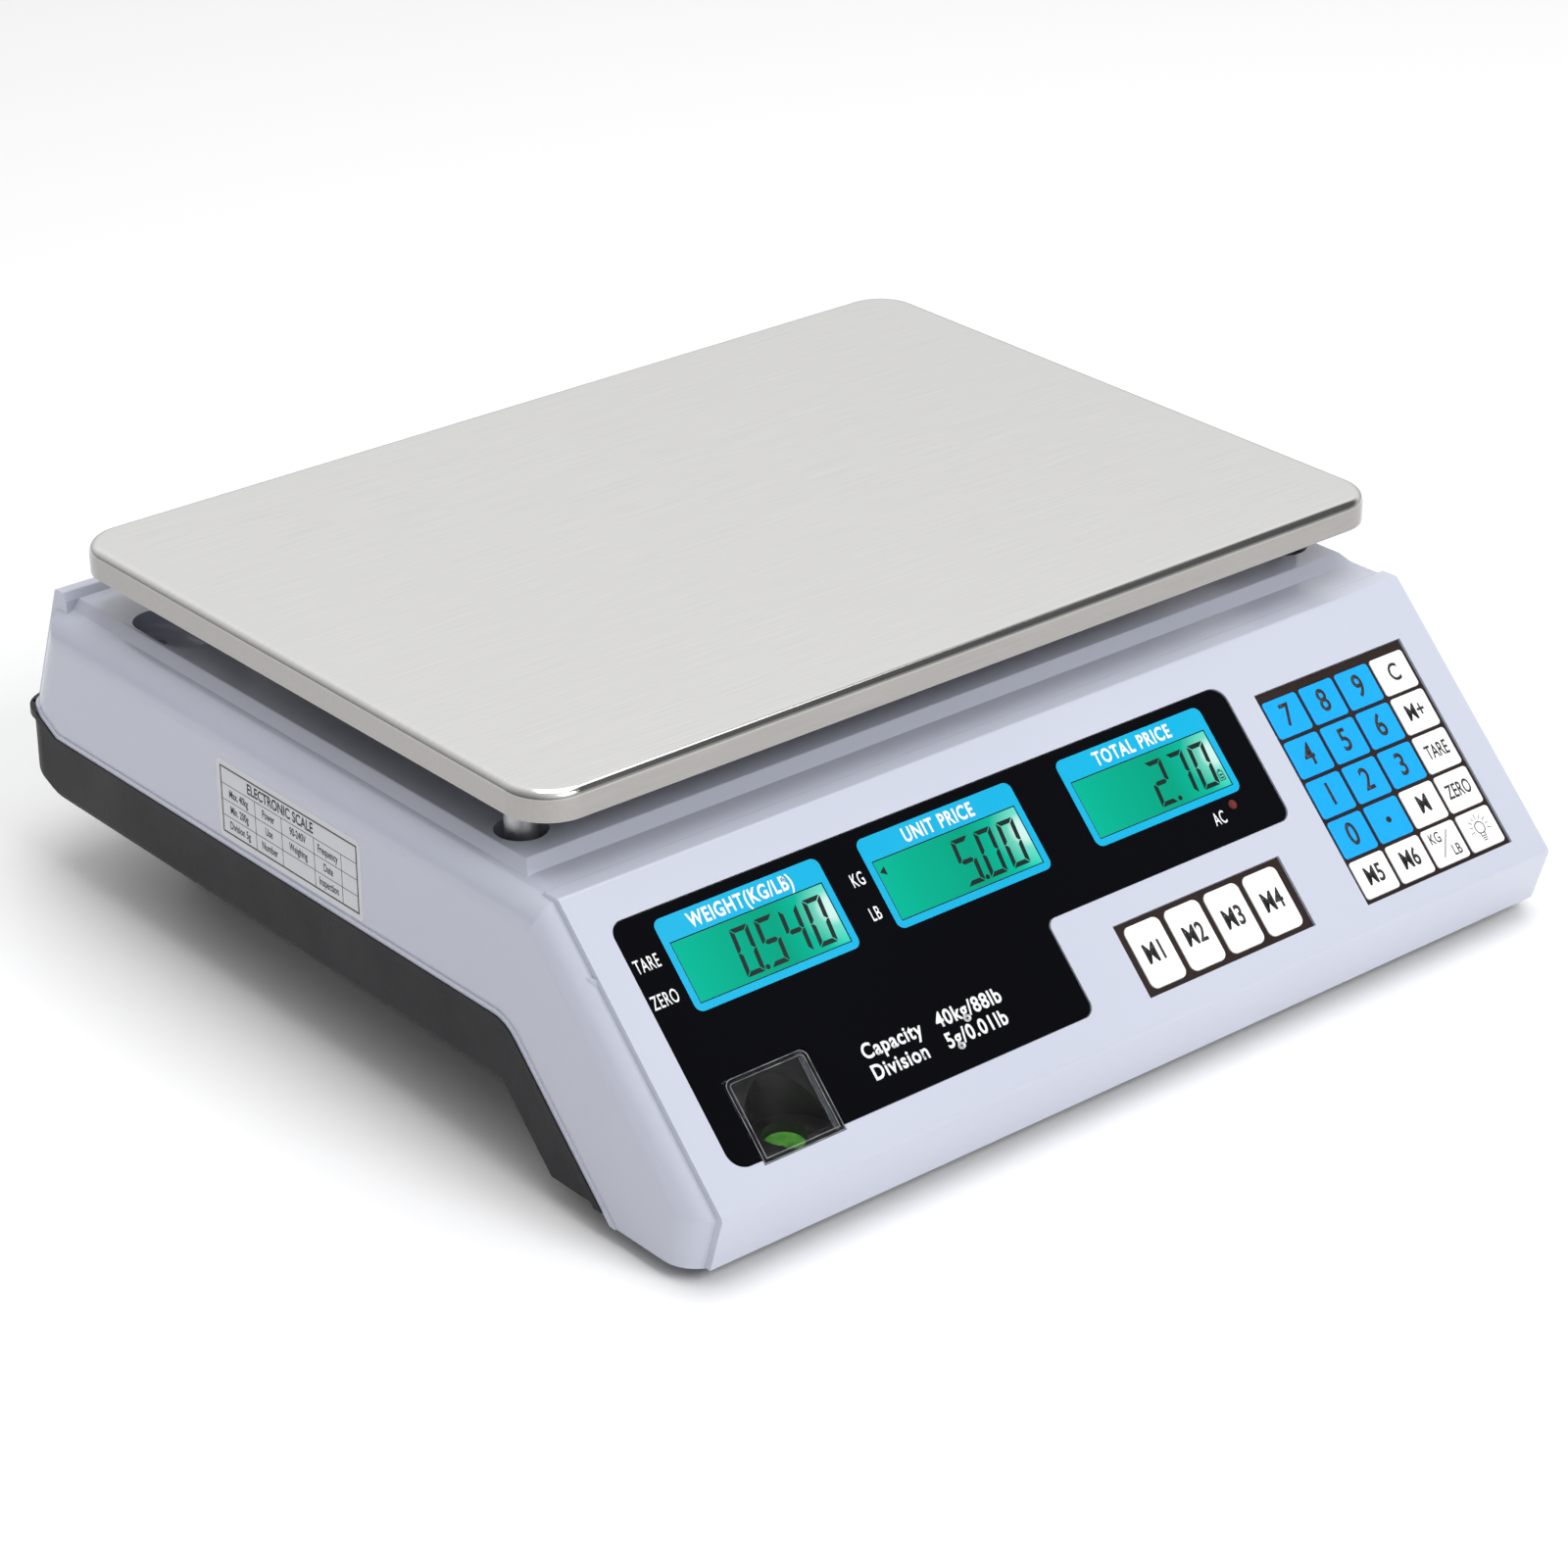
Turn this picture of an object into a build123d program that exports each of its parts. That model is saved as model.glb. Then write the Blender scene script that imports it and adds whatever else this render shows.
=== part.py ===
from build123d import *
from math import atan2, degrees, hypot, sqrt
import os

# Counter-top price computing scale.
# Millimetres. The origin is the centre of the footprint, on the surface the feet stand on.
# +X points to the right of the person at the keypad, +Y to the customer, +Z up.

os.makedirs("parts", exist_ok=True)

# ---- driving dimensions --------------------------------------------------------------
platter_width = 336.0
platter_depth = 240.0
platter_top = 122.0
platter_rim = 9.5
platter_sheet = 0.8
platter_corner = 15.0
platter_edge_radius = 3.0
platter_centre_y = 23.5

case_half_width = 174.0
lip_half_width = 175.0
case_rear_y = 174.6
band_half_width = 168.0
band_raise = 1.2
wall = 2.6
cheek_radius = 11.0
cheek_top = 95.0
gutter_height = 93.7
plateau_height = 98.0
ridge_height = 100.5
seam_height = 51.5
rear_seam_height = 57.0
rear_base_height = 28.5
front_base_height = 8.5
skirt_bottom = 5.5

console_top_y = -105.2
console_top_z = 94.5
console_length = 98.6
half_root = sqrt(0.5)
crease_y = console_top_y - console_length * half_root
crease_z = console_top_z - console_length * half_root

# ---- reference planes ----------------------------------------------------------------
# On the console, local x runs to the right and local -y runs down the slope.
console = Plane(origin=(0, console_top_y, console_top_z), x_dir=(1, 0, 0), z_dir=(0, -1, 1))
rear_run = 14.0
rear_rise = 38.0
rear_wall_y = 170.0
rear_band_y = rear_wall_y + band_raise * hypot(rear_run, rear_rise) / rear_rise
rear_display_z = 76.0
rear_display_y = rear_band_y - (rear_display_z - rear_seam_height) * rear_run / rear_rise
rear = Plane(
    origin=(0, rear_display_y, rear_display_z), x_dir=(-1, 0, 0), z_dir=(0, rear_rise, rear_run)
)
clear = 5.0  # reach of a cut that goes right through a wall
standing = (Align.CENTER, Align.CENTER, Align.MIN)
hanging = (Align.CENTER, Align.CENTER, Align.MAX)

# ---- console layout: x and distance down the slope from the console's upper edge --------
display_x = (-113.8, -39.4, 39.0)
display_down = 31.3
display_names = ("weight_lcd", "unit_price_lcd", "total_price_lcd")
lcd_width = 55.0
lcd_height = 18.7
lcd_body_width = 59.0
lcd_body_height = 22.5
lcd_body_depth = 2.9
panel_left = -157.2
panel_right = 80.5
panel_step = -21.5
panel_top = 10.9
panel_step_down = 57.0
panel_bottom = 87.7
panel_thickness = 2.0
panel_set_back = 0.5
panel_gap = 0.25
recess_depth = 2.5
lamp_x = 62.9
lamp_down = 46.4
lamp_radius = 1.5

level_x = -132.65
level_width = 29.3
level_top = 63.5
level_bottom = 89.2
level_down = (level_top + level_bottom) / 2
level_height = level_bottom - level_top
dish_y = -162.3
dish_radius = 13.4
vial_y = -158.6
vial_radius = 6.2

keypad_x = 123.3
keypad_top = 18.05
keypad_width = 64.7
keypad_height = 73.0
keypad_down = keypad_top + keypad_height / 2
key_pitch_x = 15.9
key_pitch_down = 14.0
key_width = 14.6
key_height = 12.8
key_first_down = keypad_top + 2.4 + key_pitch_down / 2
memory_x = 33.85
memory_down = 78.35
memory_width = 69.0
memory_height = 23.5
memory_pitch = 16.4
memory_key_width = 14.2
memory_key_height = 20.3
keypad_opening = (63.6, 69.8)
memory_opening = (64.6, 21.6)
frame_set_back = 0.8
frame_thickness = 1.0
key_set_back = 0.4
key_gap = 0.15
key_flange = 0.4
board_thickness = 1.6

key_rows = (
    ("key_7", "key_8", "key_9", "key_clear"),
    ("key_4", "key_5", "key_6", "key_memory_plus"),
    ("key_1", "key_2", "key_3", "key_tare"),
    ("key_0", "key_point", "key_memory", "key_zero_scale"),
    ("key_m5", "key_m6", "key_kg_lb", "key_light"),
)
memory_keys = ("key_m1", "key_m2", "key_m3", "key_m4")

# ---- places of the inner parts ------------------------------------------------------------
front_post_x = 153.0
rear_post_x = 133.0
post_half_spread_y = 91.5
post_radius = 5.0
front_post_y = platter_centre_y - post_half_spread_y
rear_post_y = platter_centre_y + post_half_spread_y
post_places = [
    (side * x, y)
    for x, y in ((front_post_x, front_post_y), (rear_post_x, rear_post_y))
    for side in (-1, 1)
]
foot_x = 128.0
foot_ys = (-60.0, 125.0)
foot_thread_radius = 4.0
rear_screws = ((163.0, 20.0), (150.0, 148.0))
front_screw = (165.0, -118.0)
screw_seats = [
    (side * x, y, level)
    for side in (-1, 1)
    for x, y, level in (
        (*rear_screws[0], rear_base_height),
        (*rear_screws[1], rear_base_height),
        (*front_screw, front_base_height),
    )
]
cell_base = 40.0
cell_height = 22.0
cell_half_length = 65.0
cell_half_width = 15.0
cell_bolts = (42.0, 56.0)
cell_pad_x = 50.0
cell_pad = (36.0, 32.0)
overload_gap = 1.2
bolt_radius = 2.95
bolt_hole_radius = 3.3
bolt_head_radius = 5.0
bolt_head_height = 4.0
bolt_recess = 6.5
battery_y = 108.0
service_y = 93.0
service_z = 40.3
service_face = 170.1
switch_y = 73.0
inlet_y = 104.0
service_plane = Plane(origin=(service_face, 0, service_z), x_dir=(0, 1, 0), z_dir=(1, 0, 0))


def key_spots():
    """Name, width, height, corner radius, x and distance down the slope of every key."""
    spots = []
    for row, names in enumerate(key_rows):
        for column, name in enumerate(names):
            x = keypad_x + (column - 1.5) * key_pitch_x
            down = key_first_down + row * key_pitch_down
            spots.append((name, key_width, key_height, 1.2, x, down))
    for column, name in enumerate(memory_keys):
        x = memory_x + (column - 1.5) * memory_pitch
        spots.append((name, memory_key_width, memory_key_height, 2.4, x, memory_down))
    return spots


def panel_points(grow):
    """Corners of the L-shaped display panel on the console, grown outward all round."""
    left = panel_left - grow
    right = panel_right + grow
    step = panel_step + grow
    return (
        (left, -panel_top + grow),
        (right, -panel_top + grow),
        (right, -panel_step_down - grow),
        (step, -panel_step_down - grow),
        (step, -panel_bottom - grow),
        (left, -panel_bottom - grow),
    )


panel_corner_radii = (4.5, 5.5, 4.0, 3.0, 4.0, 6.0)


def panel_sketch(plane, grow):
    """The L-shaped outline with its rounded corners."""
    points = panel_points(grow)
    with BuildSketch(plane) as outline:
        with BuildLine():
            Polyline(*points, close=True)
        make_face()
        for point, radius in zip(points, panel_corner_radii):
            corner = outline.vertices().sort_by_distance((point[0], point[1], 0))[:1]
            fillet(corner, radius)
    return outline.sketch


def side_edges(part, half_width):
    """Long outer edges of a shell's two side faces, above and in front of the seam."""
    return part.edges().filter_by(
        lambda e: abs(abs(e.center().X) - half_width) < 0.01
        and (e.center().Z > rear_seam_height or e.center().Y < -160)
    )


# ---- platter: pressed stainless tray with a hemmed rim --------------------------------------
rim_bottom = platter_top - platter_rim
with BuildPart() as platter:
    with BuildSketch(Plane.XY.offset(rim_bottom)):
        with Locations((0, platter_centre_y)):
            RectangleRounded(platter_width, platter_depth, platter_corner)
    extrude(amount=platter_rim)
    fillet(platter.faces().sort_by(Axis.Z)[-1].edges(), platter_edge_radius)
    offset(amount=-platter_sheet, openings=platter.faces().sort_by(Axis.Z)[0])
    with BuildSketch(Plane.XY.offset(rim_bottom)):
        with Locations((0, platter_centre_y)):
            fold = platter_sheet * 0.9
            RectangleRounded(platter_width - 2 * fold, platter_depth - 2 * fold, platter_corner - fold)
            fold_in = platter_sheet * 2
            RectangleRounded(
                platter_width - 2 * fold_in,
                platter_depth - 2 * fold_in,
                platter_corner - fold_in,
                mode=Mode.SUBTRACT,
            )
    extrude(amount=2.0)
platter.part.label = "platter"
export_step(platter.part, "parts/platter.step")

# ---- top housing: cheeks, raised centre band and the hollow inside ---------------------------
seam = (
    (-skirt_bottom - 127.2, skirt_bottom),
    (-86.7, seam_height),
    (151.0, seam_height),
    (162.0, rear_seam_height),
)
front_lean = 0.3046
seam_knee = seam[1]
knee_radius = 14.0
cheek_outline = (
    (rear_wall_y, rear_seam_height),
    (156.0, cheek_top),
    (-103.0, cheek_top),
    (-173.56, 24.44),
    (-167.8, skirt_bottom),
    *seam,
)
with BuildPart() as cheeks:
    with BuildSketch(Plane.YZ) as cheek_face:
        with BuildLine():
            Polyline(*cheek_outline, close=True)
        make_face()
        fillet(cheek_face.vertices().sort_by_distance((*seam_knee, 0))[:1], knee_radius)
    extrude(amount=case_half_width, both=True)
    fillet(side_edges(cheeks, case_half_width), cheek_radius)
    crease = cheeks.edges().filter_by(Axis.X).group_by(Axis.Y)[0]
    fillet(crease, 1.6)
    fillet(cheeks.edges().filter_by(Axis.X).filter_by(lambda e: e.center().Z > cheek_top - 1), 2.0)

# narrow flare along the lower edge of the top housing
flare_height = 1.8
flare_reach = 0.5
flare_outline = (
    (rear_wall_y + flare_reach, rear_seam_height),
    seam[3],
    seam[2],
    seam_knee,
    seam[0],
    (seam[0][0] - flare_height / half_root, seam[0][1]),
    (seam_knee[0] - flare_height * (1 / half_root - 1), seam_height + flare_height),
    (seam[2][0] - 0.4, seam_height + flare_height),
    (seam[3][0] - 0.4, rear_seam_height + flare_height),
    (rear_wall_y + flare_reach, rear_seam_height + flare_height),
)
with BuildPart() as flare:
    with BuildSketch(Plane.YZ) as flare_face:
        with BuildLine():
            Polyline(*flare_outline, close=True)
        make_face()
        for spot, radius in ((seam_knee, knee_radius), (flare_outline[6], knee_radius + flare_height)):
            fillet(flare_face.vertices().sort_by_distance((*spot, 0))[:1], radius)
    extrude(amount=case_half_width + flare_reach, both=True)
    with BuildSketch(Plane.XY):
        with Locations((0, rear_wall_y + flare_reach - 200)):
            RectangleRounded(2 * (case_half_width + flare_reach), 400, cheek_radius + flare_reach)
    extrude(amount=rear_seam_height + 10, mode=Mode.INTERSECT)

band_bottom = 6.0
band_front_y = crease_y + (crease_z - band_bottom) * front_lean
ridge_rear_y = rear_band_y - (ridge_height - rear_seam_height) * rear_run / rear_rise
bead_height = 95.2
bead_front_y = console_top_y + (bead_height - console_top_z)
band_outline = (
    (rear_band_y, rear_seam_height),
    (ridge_rear_y, ridge_height),
    (151.0, ridge_height),
    (149.0, plateau_height),
    (149.0, gutter_height),
    (-97.2, gutter_height),
    (-98.2, bead_height),
    (bead_front_y, bead_height),
    (crease_y, crease_z),
    (band_front_y, band_bottom),
    (-band_bottom - 126.2, band_bottom),
    *seam[1:],
)
band_rounds = (
    (ridge_rear_y, ridge_height, 1.4),
    (151.0, ridge_height, 0.8),
    (-98.2, bead_height, 0.9),
    (bead_front_y, bead_height, 1.6),
    (crease_y, crease_z, 2.2),
)
with BuildPart() as band:
    with BuildSketch(Plane.YZ) as band_face:
        with BuildLine():
            Polyline(*band_outline, close=True)
        make_face()
        for y, z, radius in band_rounds:
            fillet(band_face.vertices().sort_by_distance((y, z, 0))[:1], radius)
        fillet(band_face.vertices().sort_by_distance((*seam_knee, 0))[:1], knee_radius)
    extrude(amount=band_half_width, both=True)

plateau_front_y = -89.2
plateau_slope = 5.9
plateau_foot = 166.5
plateau_half_width = 163.0
with BuildPart() as plateau:
    for height, half_width, front in (
        (gutter_height, plateau_foot, plateau_front_y),
        (plateau_height, plateau_half_width, plateau_front_y + plateau_slope),
    ):
        with BuildSketch(Plane.XY.offset(height)):
            with Locations((0, (front + 149.0) / 2)):
                Rectangle(2 * half_width, 149.0 - front)
    loft(ruled=True)
    fillet(plateau.faces().sort_by(Axis.Z)[-1].edges().filter_by(lambda e: e.center().Y < 148), 0.8)

ceiling = 91.3
cavity_outline = (
    (-163.4, 0.0),
    (-170.62, 23.68),
    (-103.0, ceiling),
    (154.56, ceiling),
    (167.2, rear_seam_height),
    (167.2, 0.0),
)
inner_half_width = case_half_width - wall
with BuildPart() as cavity:
    with BuildSketch(Plane.YZ):
        with BuildLine():
            Polyline(*cavity_outline, close=True)
        make_face()
    extrude(amount=inner_half_width, both=True)
    corners = cavity.edges().filter_by(
        lambda e: abs(abs(e.center().X) - inner_half_width) < 0.01 and e.center().Z > 5
    )
    fillet(corners, cheek_radius - wall)

attic_front_y = -78.0
attic_rear_y = 145.0
attic_half_width = 158.0
well_radius = 8.0
well_floor = 90.0
well_wall = 2.0
bowl_radius = 9.0
bowl_wall = 1.5
bowl_places = [(side * 153.0, (103.5 + 117.5) / 2) for side in (-1, 1)]
bowl_run = 14.0
bowl_round = 4.0
bowl_hole_places = [(x, y + 8.5) for x, y in bowl_places]
bowl_hole_radius = 2.2
post_hole = 6.5
boss_radius = 4.5
boss_start = 5.7
pilot_radius = 1.55
rear_window_width = 236.0
rear_window_height = 30.0
rear_display_x = (-75.0, 0.0, 75.0)
fit_gap = 0.2

with BuildPart() as bowls:
    with BuildSketch(Plane.XY.offset(well_floor)):
        with Locations(*bowl_places):
            SlotCenterToCenter(bowl_run, 2 * bowl_radius, rotation=90)
    extrude(amount=plateau_height + 1 - well_floor)
    fillet(bowls.faces().sort_by(Axis.Z)[:2].edges(), bowl_round)

with BuildPart() as top_housing:
    add(cheeks.part)
    add(flare.part)
    add(band.part)
    add(plateau.part)
    add(cavity.part, mode=Mode.SUBTRACT)
    # hollow under the plateau
    with BuildSketch(Plane.XY.offset(ceiling)):
        with Locations((0, (attic_front_y + attic_rear_y) / 2)):
            Rectangle(2 * attic_half_width, attic_rear_y - attic_front_y)
    extrude(amount=plateau_height - wall - ceiling, mode=Mode.SUBTRACT)
    # wells for the four platter posts, and an oblong bowl beside each rear corner of the platter
    with BuildSketch(Plane.XY.offset(well_floor - well_wall)):
        with Locations(*post_places):
            Circle(well_radius + well_wall)
        with Locations(*bowl_places):
            SlotCenterToCenter(bowl_run, 2 * (bowl_radius + bowl_wall), rotation=90)
    extrude(amount=plateau_height - 0.5 - well_floor + well_wall)
    with BuildSketch(Plane.XY.offset(well_floor)):
        with Locations(*post_places):
            Circle(well_radius)
    extrude(amount=plateau_height + 1 - well_floor, mode=Mode.SUBTRACT)
    add(bowls.part, mode=Mode.SUBTRACT)
    with BuildSketch(Plane.XY.offset(well_floor - well_wall)):
        with Locations(*post_places):
            Circle(post_hole)
        with Locations(*bowl_hole_places):
            Circle(bowl_hole_radius)
    extrude(amount=well_wall, mode=Mode.SUBTRACT)
    # recess and openings for the display panel
    panel_recess = extrude(panel_sketch(console, panel_gap), amount=-recess_depth, mode=Mode.PRIVATE)
    add(panel_recess, mode=Mode.SUBTRACT)
    with BuildSketch(console):
        with Locations(*[(x, -display_down) for x in display_x]):
            Rectangle(lcd_body_width + 1, lcd_body_height + 1)
        with Locations((lamp_x, -lamp_down)):
            Circle(lamp_radius + fit_gap)
        with Locations((level_x, -level_down)):
            Rectangle(level_width + 2 * fit_gap, level_height + 2 * fit_gap)
    extrude(amount=-clear, mode=Mode.SUBTRACT)
    # recesses and openings for the two keypads
    with BuildSketch(console):
        with Locations((keypad_x, -keypad_down)):
            Rectangle(keypad_width + 2 * fit_gap, keypad_height + 2 * fit_gap)
        with Locations((memory_x, -memory_down)):
            Rectangle(memory_width + 2 * fit_gap, memory_height + 2 * fit_gap)
    extrude(amount=-frame_set_back - frame_thickness, mode=Mode.SUBTRACT)
    with BuildSketch(console):
        with Locations((keypad_x, -key_first_down - 2 * key_pitch_down)):
            Rectangle(*keypad_opening)
        with Locations((memory_x, -memory_down)):
            Rectangle(*memory_opening)
    extrude(amount=-clear, mode=Mode.SUBTRACT)
    # recess and openings for the customer's display
    with BuildSketch(rear):
        RectangleRounded(rear_window_width + 2 * fit_gap, rear_window_height + 2 * fit_gap, 4)
    extrude(amount=-recess_depth, mode=Mode.SUBTRACT)
    with BuildSketch(rear):
        with Locations(*[(x, 0) for x in rear_display_x]):
            Rectangle(lcd_body_width + 1, lcd_body_height + 1)
    extrude(amount=-clear, mode=Mode.SUBTRACT)
    # screw bosses
    for x, y, level in screw_seats:
        boss_top = ceiling + 1.2 if y > console_top_y else 77.0
        with Locations((x, y, level + boss_start)):
            Cylinder(boss_radius, boss_top - level - boss_start, align=standing)
            Cylinder(pilot_radius, 16, align=standing, mode=Mode.SUBTRACT)
top_housing.part.label = "top_housing"
export_step(top_housing.part, "parts/top_housing.step")

# ---- base housing: dark lower shell, stepped down below the console ---------------------------
base_half_width = 173.6
base_rear_y = 173.2
base_corner = 11.6
base_outline = (
    (base_rear_y, rear_seam_height),
    (base_rear_y, 38.0),
    (150.0, rear_base_height),
    (-85.0, rear_base_height),
    (-105.0, front_base_height),
    (-front_base_height - 121.2, front_base_height),
    (-86.7, seam_height),
    *seam[2:],
)
with BuildPart() as base_shell:
    with BuildSketch(Plane.YZ) as base_face:
        with BuildLine():
            Polyline(*base_outline, close=True)
        make_face()
        fillet(base_face.vertices().sort_by_distance((*seam_knee, 0))[:1], knee_radius)
    extrude(amount=base_half_width, both=True)
    with BuildSketch(Plane.XY):
        with Locations((0, base_rear_y - 200)):
            RectangleRounded(2 * base_half_width, 400, base_corner)
    extrude(amount=60, mode=Mode.INTERSECT)
    low_sides = base_shell.edges().filter_by(
        lambda e: abs(abs(e.center().X) - base_half_width) < 0.01
        and e.center().Z < 35
        and e.center().Y > -118
        and e.length > 12
    )
    fillet(low_sides.filter_by(lambda e: abs(e.center().Z - rear_base_height) < 1), 3.0)

lip_drop = 2.5
lip_outline = (
    (case_rear_y, rear_seam_height),
    (seam[3][0], rear_seam_height),
    seam[2],
    seam[1],
    (-front_base_height - 121.2, front_base_height),
    (-front_base_height - 121.2 + 3.5, front_base_height),
    (seam_knee[0] + 1.0, seam_height - lip_drop),
    (151.6, seam_height - lip_drop),
    (162.6, rear_seam_height - lip_drop),
    (case_rear_y, rear_seam_height - lip_drop),
)
with BuildPart() as base_lip:
    with BuildSketch(Plane.YZ) as lip_face:
        with BuildLine():
            Polyline(*lip_outline, close=True)
        make_face()
        for spot, radius in ((seam_knee, knee_radius), (lip_outline[6], knee_radius - lip_drop)):
            fillet(lip_face.vertices().sort_by_distance((*spot, 0))[:1], radius)
    extrude(amount=lip_half_width, both=True)
    with BuildSketch(Plane.XY):
        with Locations((0, case_rear_y - 200)):
            RectangleRounded(2 * lip_half_width, 400, base_corner + 1.4)
    extrude(amount=60, mode=Mode.INTERSECT)

base_cavity_outline = (
    (base_rear_y - wall, 70.0),
    (base_rear_y - wall, 39.7),
    (149.4, rear_base_height + wall),
    (-83.9, rear_base_height + wall),
    (-103.9, front_base_height + wall),
    (-175.0, front_base_height + wall),
    (-175.0, 70.0),
)
floor_top = rear_base_height + wall
front_floor_top = front_base_height + wall
pedestal_bottom = 9.0
pedestal_radii = (15.0, 17.0)
thread_tube_radius = 7.0
thread_tube_length = 31.0
thread_gap = 0.06
standoffs = [(x, y) for x in (-96.0, 16.0) for y in (-156.0, -116.0)]
standoff_height = 3.9
screw_pad = 3.0
head_radius = 3.2
head_height = 2.2
head_sink = 3.0
shank_radius = 1.5
shank_length = 14.0
cross_slot = (3.6, 0.7)
battery_size = (90.0, 60.0, 29.0)
tray_gap = 1.5
tray_wall = 2.0
tray_height = 14.0
cover_size = (100.0, 70.0)
cover_hole = (92.0, 62.0)
cover_step = 1.3
service_width = 65.0
service_height = 17.4
switch_hole = (19.2, 13.2)
inlet_hole = (26.2, 13.2)

with BuildPart() as base_housing:
    add(base_shell.part)
    add(base_lip.part)
    with BuildSketch(Plane.YZ):
        with BuildLine():
            Polyline(*base_cavity_outline, close=True)
        make_face()
    extrude(amount=base_half_width - wall, both=True, mode=Mode.SUBTRACT)
    # floor that closes the console from below, inside the top housing's skirt
    with BuildSketch(Plane.XY.offset(front_base_height)):
        with Locations((0, (-164.8 - 104.0) / 2)):
            RectangleRounded(2 * (inner_half_width - 0.4), 164.8 - 104.0, 9)
    extrude(amount=wall)
    # foot pedestals with threaded tubes
    for side in (-1, 1):
        for y in foot_ys:
            with Locations((side * foot_x, y, pedestal_bottom)):
                Cone(*pedestal_radii, rear_base_height + 1 - pedestal_bottom, align=standing)
            with Locations((side * foot_x, y, pedestal_bottom + wall)):
                Cylinder(pedestal_radii[0] - wall, 24, align=standing, mode=Mode.SUBTRACT)
            with Locations((side * foot_x, y, pedestal_bottom)):
                Cylinder(thread_tube_radius, thread_tube_length, align=standing)
                Cylinder(foot_thread_radius + thread_gap, 40, align=standing, mode=Mode.SUBTRACT)
    # pad under the load cell's fixed end and the overload stop under its free end
    with Locations((-cell_pad_x, platter_centre_y, rear_base_height)):
        Box(*cell_pad, cell_base - rear_base_height, align=standing)
    with Locations(*[(-x, platter_centre_y, rear_base_height) for x in cell_bolts]):
        Cylinder(bolt_head_radius + 0.5, bolt_recess, align=standing, mode=Mode.SUBTRACT)
        Cylinder(bolt_hole_radius, 12, align=standing, mode=Mode.SUBTRACT)
    with Locations((cell_pad_x, platter_centre_y, floor_top - 0.5)):
        Cylinder(6, cell_base - overload_gap - floor_top + 0.5, align=standing)
    # standoffs for the main board
    with Locations(*[(x, y, front_floor_top - 0.5) for x, y in standoffs]):
        Cylinder(3, standoff_height + 0.5, align=standing)
    # screw holes with sunk heads
    for x, y, level in screw_seats:
        with Locations((x, y, level + 0.5)):
            Cylinder(boss_radius + 1, wall + screw_pad - 0.5, align=standing)
        with Locations((x, y, level)):
            Cylinder(head_radius + 0.4, head_sink, align=standing, mode=Mode.SUBTRACT)
            Cylinder(shank_radius + 0.2, 9.0, align=standing, mode=Mode.SUBTRACT)
    # battery tray, its opening and the step that the cover sits in
    with BuildSketch(Plane.XY.offset(floor_top - 0.5)):
        with Locations((0, battery_y)):
            Rectangle(*[size + 2 * (tray_gap + tray_wall) for size in battery_size[:2]])
            Rectangle(*[size + 2 * tray_gap for size in battery_size[:2]], mode=Mode.SUBTRACT)
    extrude(amount=tray_height)
    with BuildSketch(Plane.XY.offset(rear_base_height)):
        with Locations((0, battery_y)):
            RectangleRounded(*cover_size, 3)
    extrude(amount=cover_step, mode=Mode.SUBTRACT)
    with BuildSketch(Plane.XY.offset(rear_base_height)):
        with Locations((0, battery_y)):
            Rectangle(*cover_hole)
    extrude(amount=wall, mode=Mode.SUBTRACT)
    # sunk service panel on the right for the switch and the mains inlet
    with BuildSketch(service_plane.offset(-2.5)):
        with Locations((service_y, 0)):
            Rectangle(service_width + 5, 2 * (seam_height - service_z))
    extrude(amount=4.2)
    with BuildSketch(service_plane):
        with Locations((service_y, 0)):
            RectangleRounded(service_width, service_height, 3)
    extrude(amount=10, mode=Mode.SUBTRACT)
    with BuildSketch(service_plane.offset(-4)):
        with Locations((switch_y, 0)):
            Rectangle(*switch_hole)
        with Locations((inlet_y, 0)):
            Rectangle(*inlet_hole)
    extrude(amount=6, mode=Mode.SUBTRACT)
base_housing.part.label = "base_housing"
export_step(base_housing.part, "parts/base_housing.step")

# ---- screws that hold the two housings together ------------------------------------------------
with BuildPart() as housing_screws:
    slot_length, slot_width = cross_slot
    for x, y, level in screw_seats:
        with Locations((x, y, level + head_sink - head_height)):
            Cylinder(head_radius, head_height, align=standing)
            Box(slot_width, slot_length, 0.9, align=standing, mode=Mode.SUBTRACT)
            Box(slot_length, slot_width, 0.9, align=standing, mode=Mode.SUBTRACT)
        with Locations((x, y, level + head_sink)):
            Cylinder(shank_radius, shank_length, align=standing)
housing_screws.part.label = "housing_screws"
export_step(housing_screws.part, "parts/housing_screws.step")

# ---- display panel, displays and their boards -------------------------------------------------
with BuildPart() as display_window:
    panel_face = panel_sketch(console.offset(-panel_set_back), 0)
    add(extrude(panel_face, amount=-panel_thickness, mode=Mode.PRIVATE))
    with BuildSketch(console):
        with Locations(*[(x, -display_down) for x in display_x]):
            Rectangle(lcd_width + 0.4, lcd_height + 0.3)
        with Locations((lamp_x, -lamp_down)):
            Circle(lamp_radius + 0.1)
        with Locations((level_x, -level_down)):
            Rectangle(level_width + 2 * fit_gap, level_height + 2 * fit_gap)
    extrude(amount=-clear, mode=Mode.SUBTRACT)
display_window.part.label = "display_window"
export_step(display_window.part, "parts/display_window.step")


def lcd_module(plane, x, y):
    """A liquid crystal display: the face that fills the panel's cut-out and its wider body."""
    with BuildPart() as module:
        with BuildSketch(plane.offset(-panel_set_back - 0.1)):
            with Locations((x, y)):
                Rectangle(lcd_width, lcd_height)
        extrude(amount=-panel_thickness)
        with BuildSketch(plane.offset(-recess_depth - 0.05)):
            with Locations((x, y)):
                Rectangle(lcd_body_width, lcd_body_height)
        extrude(amount=-lcd_body_depth)
    return module.part


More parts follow.
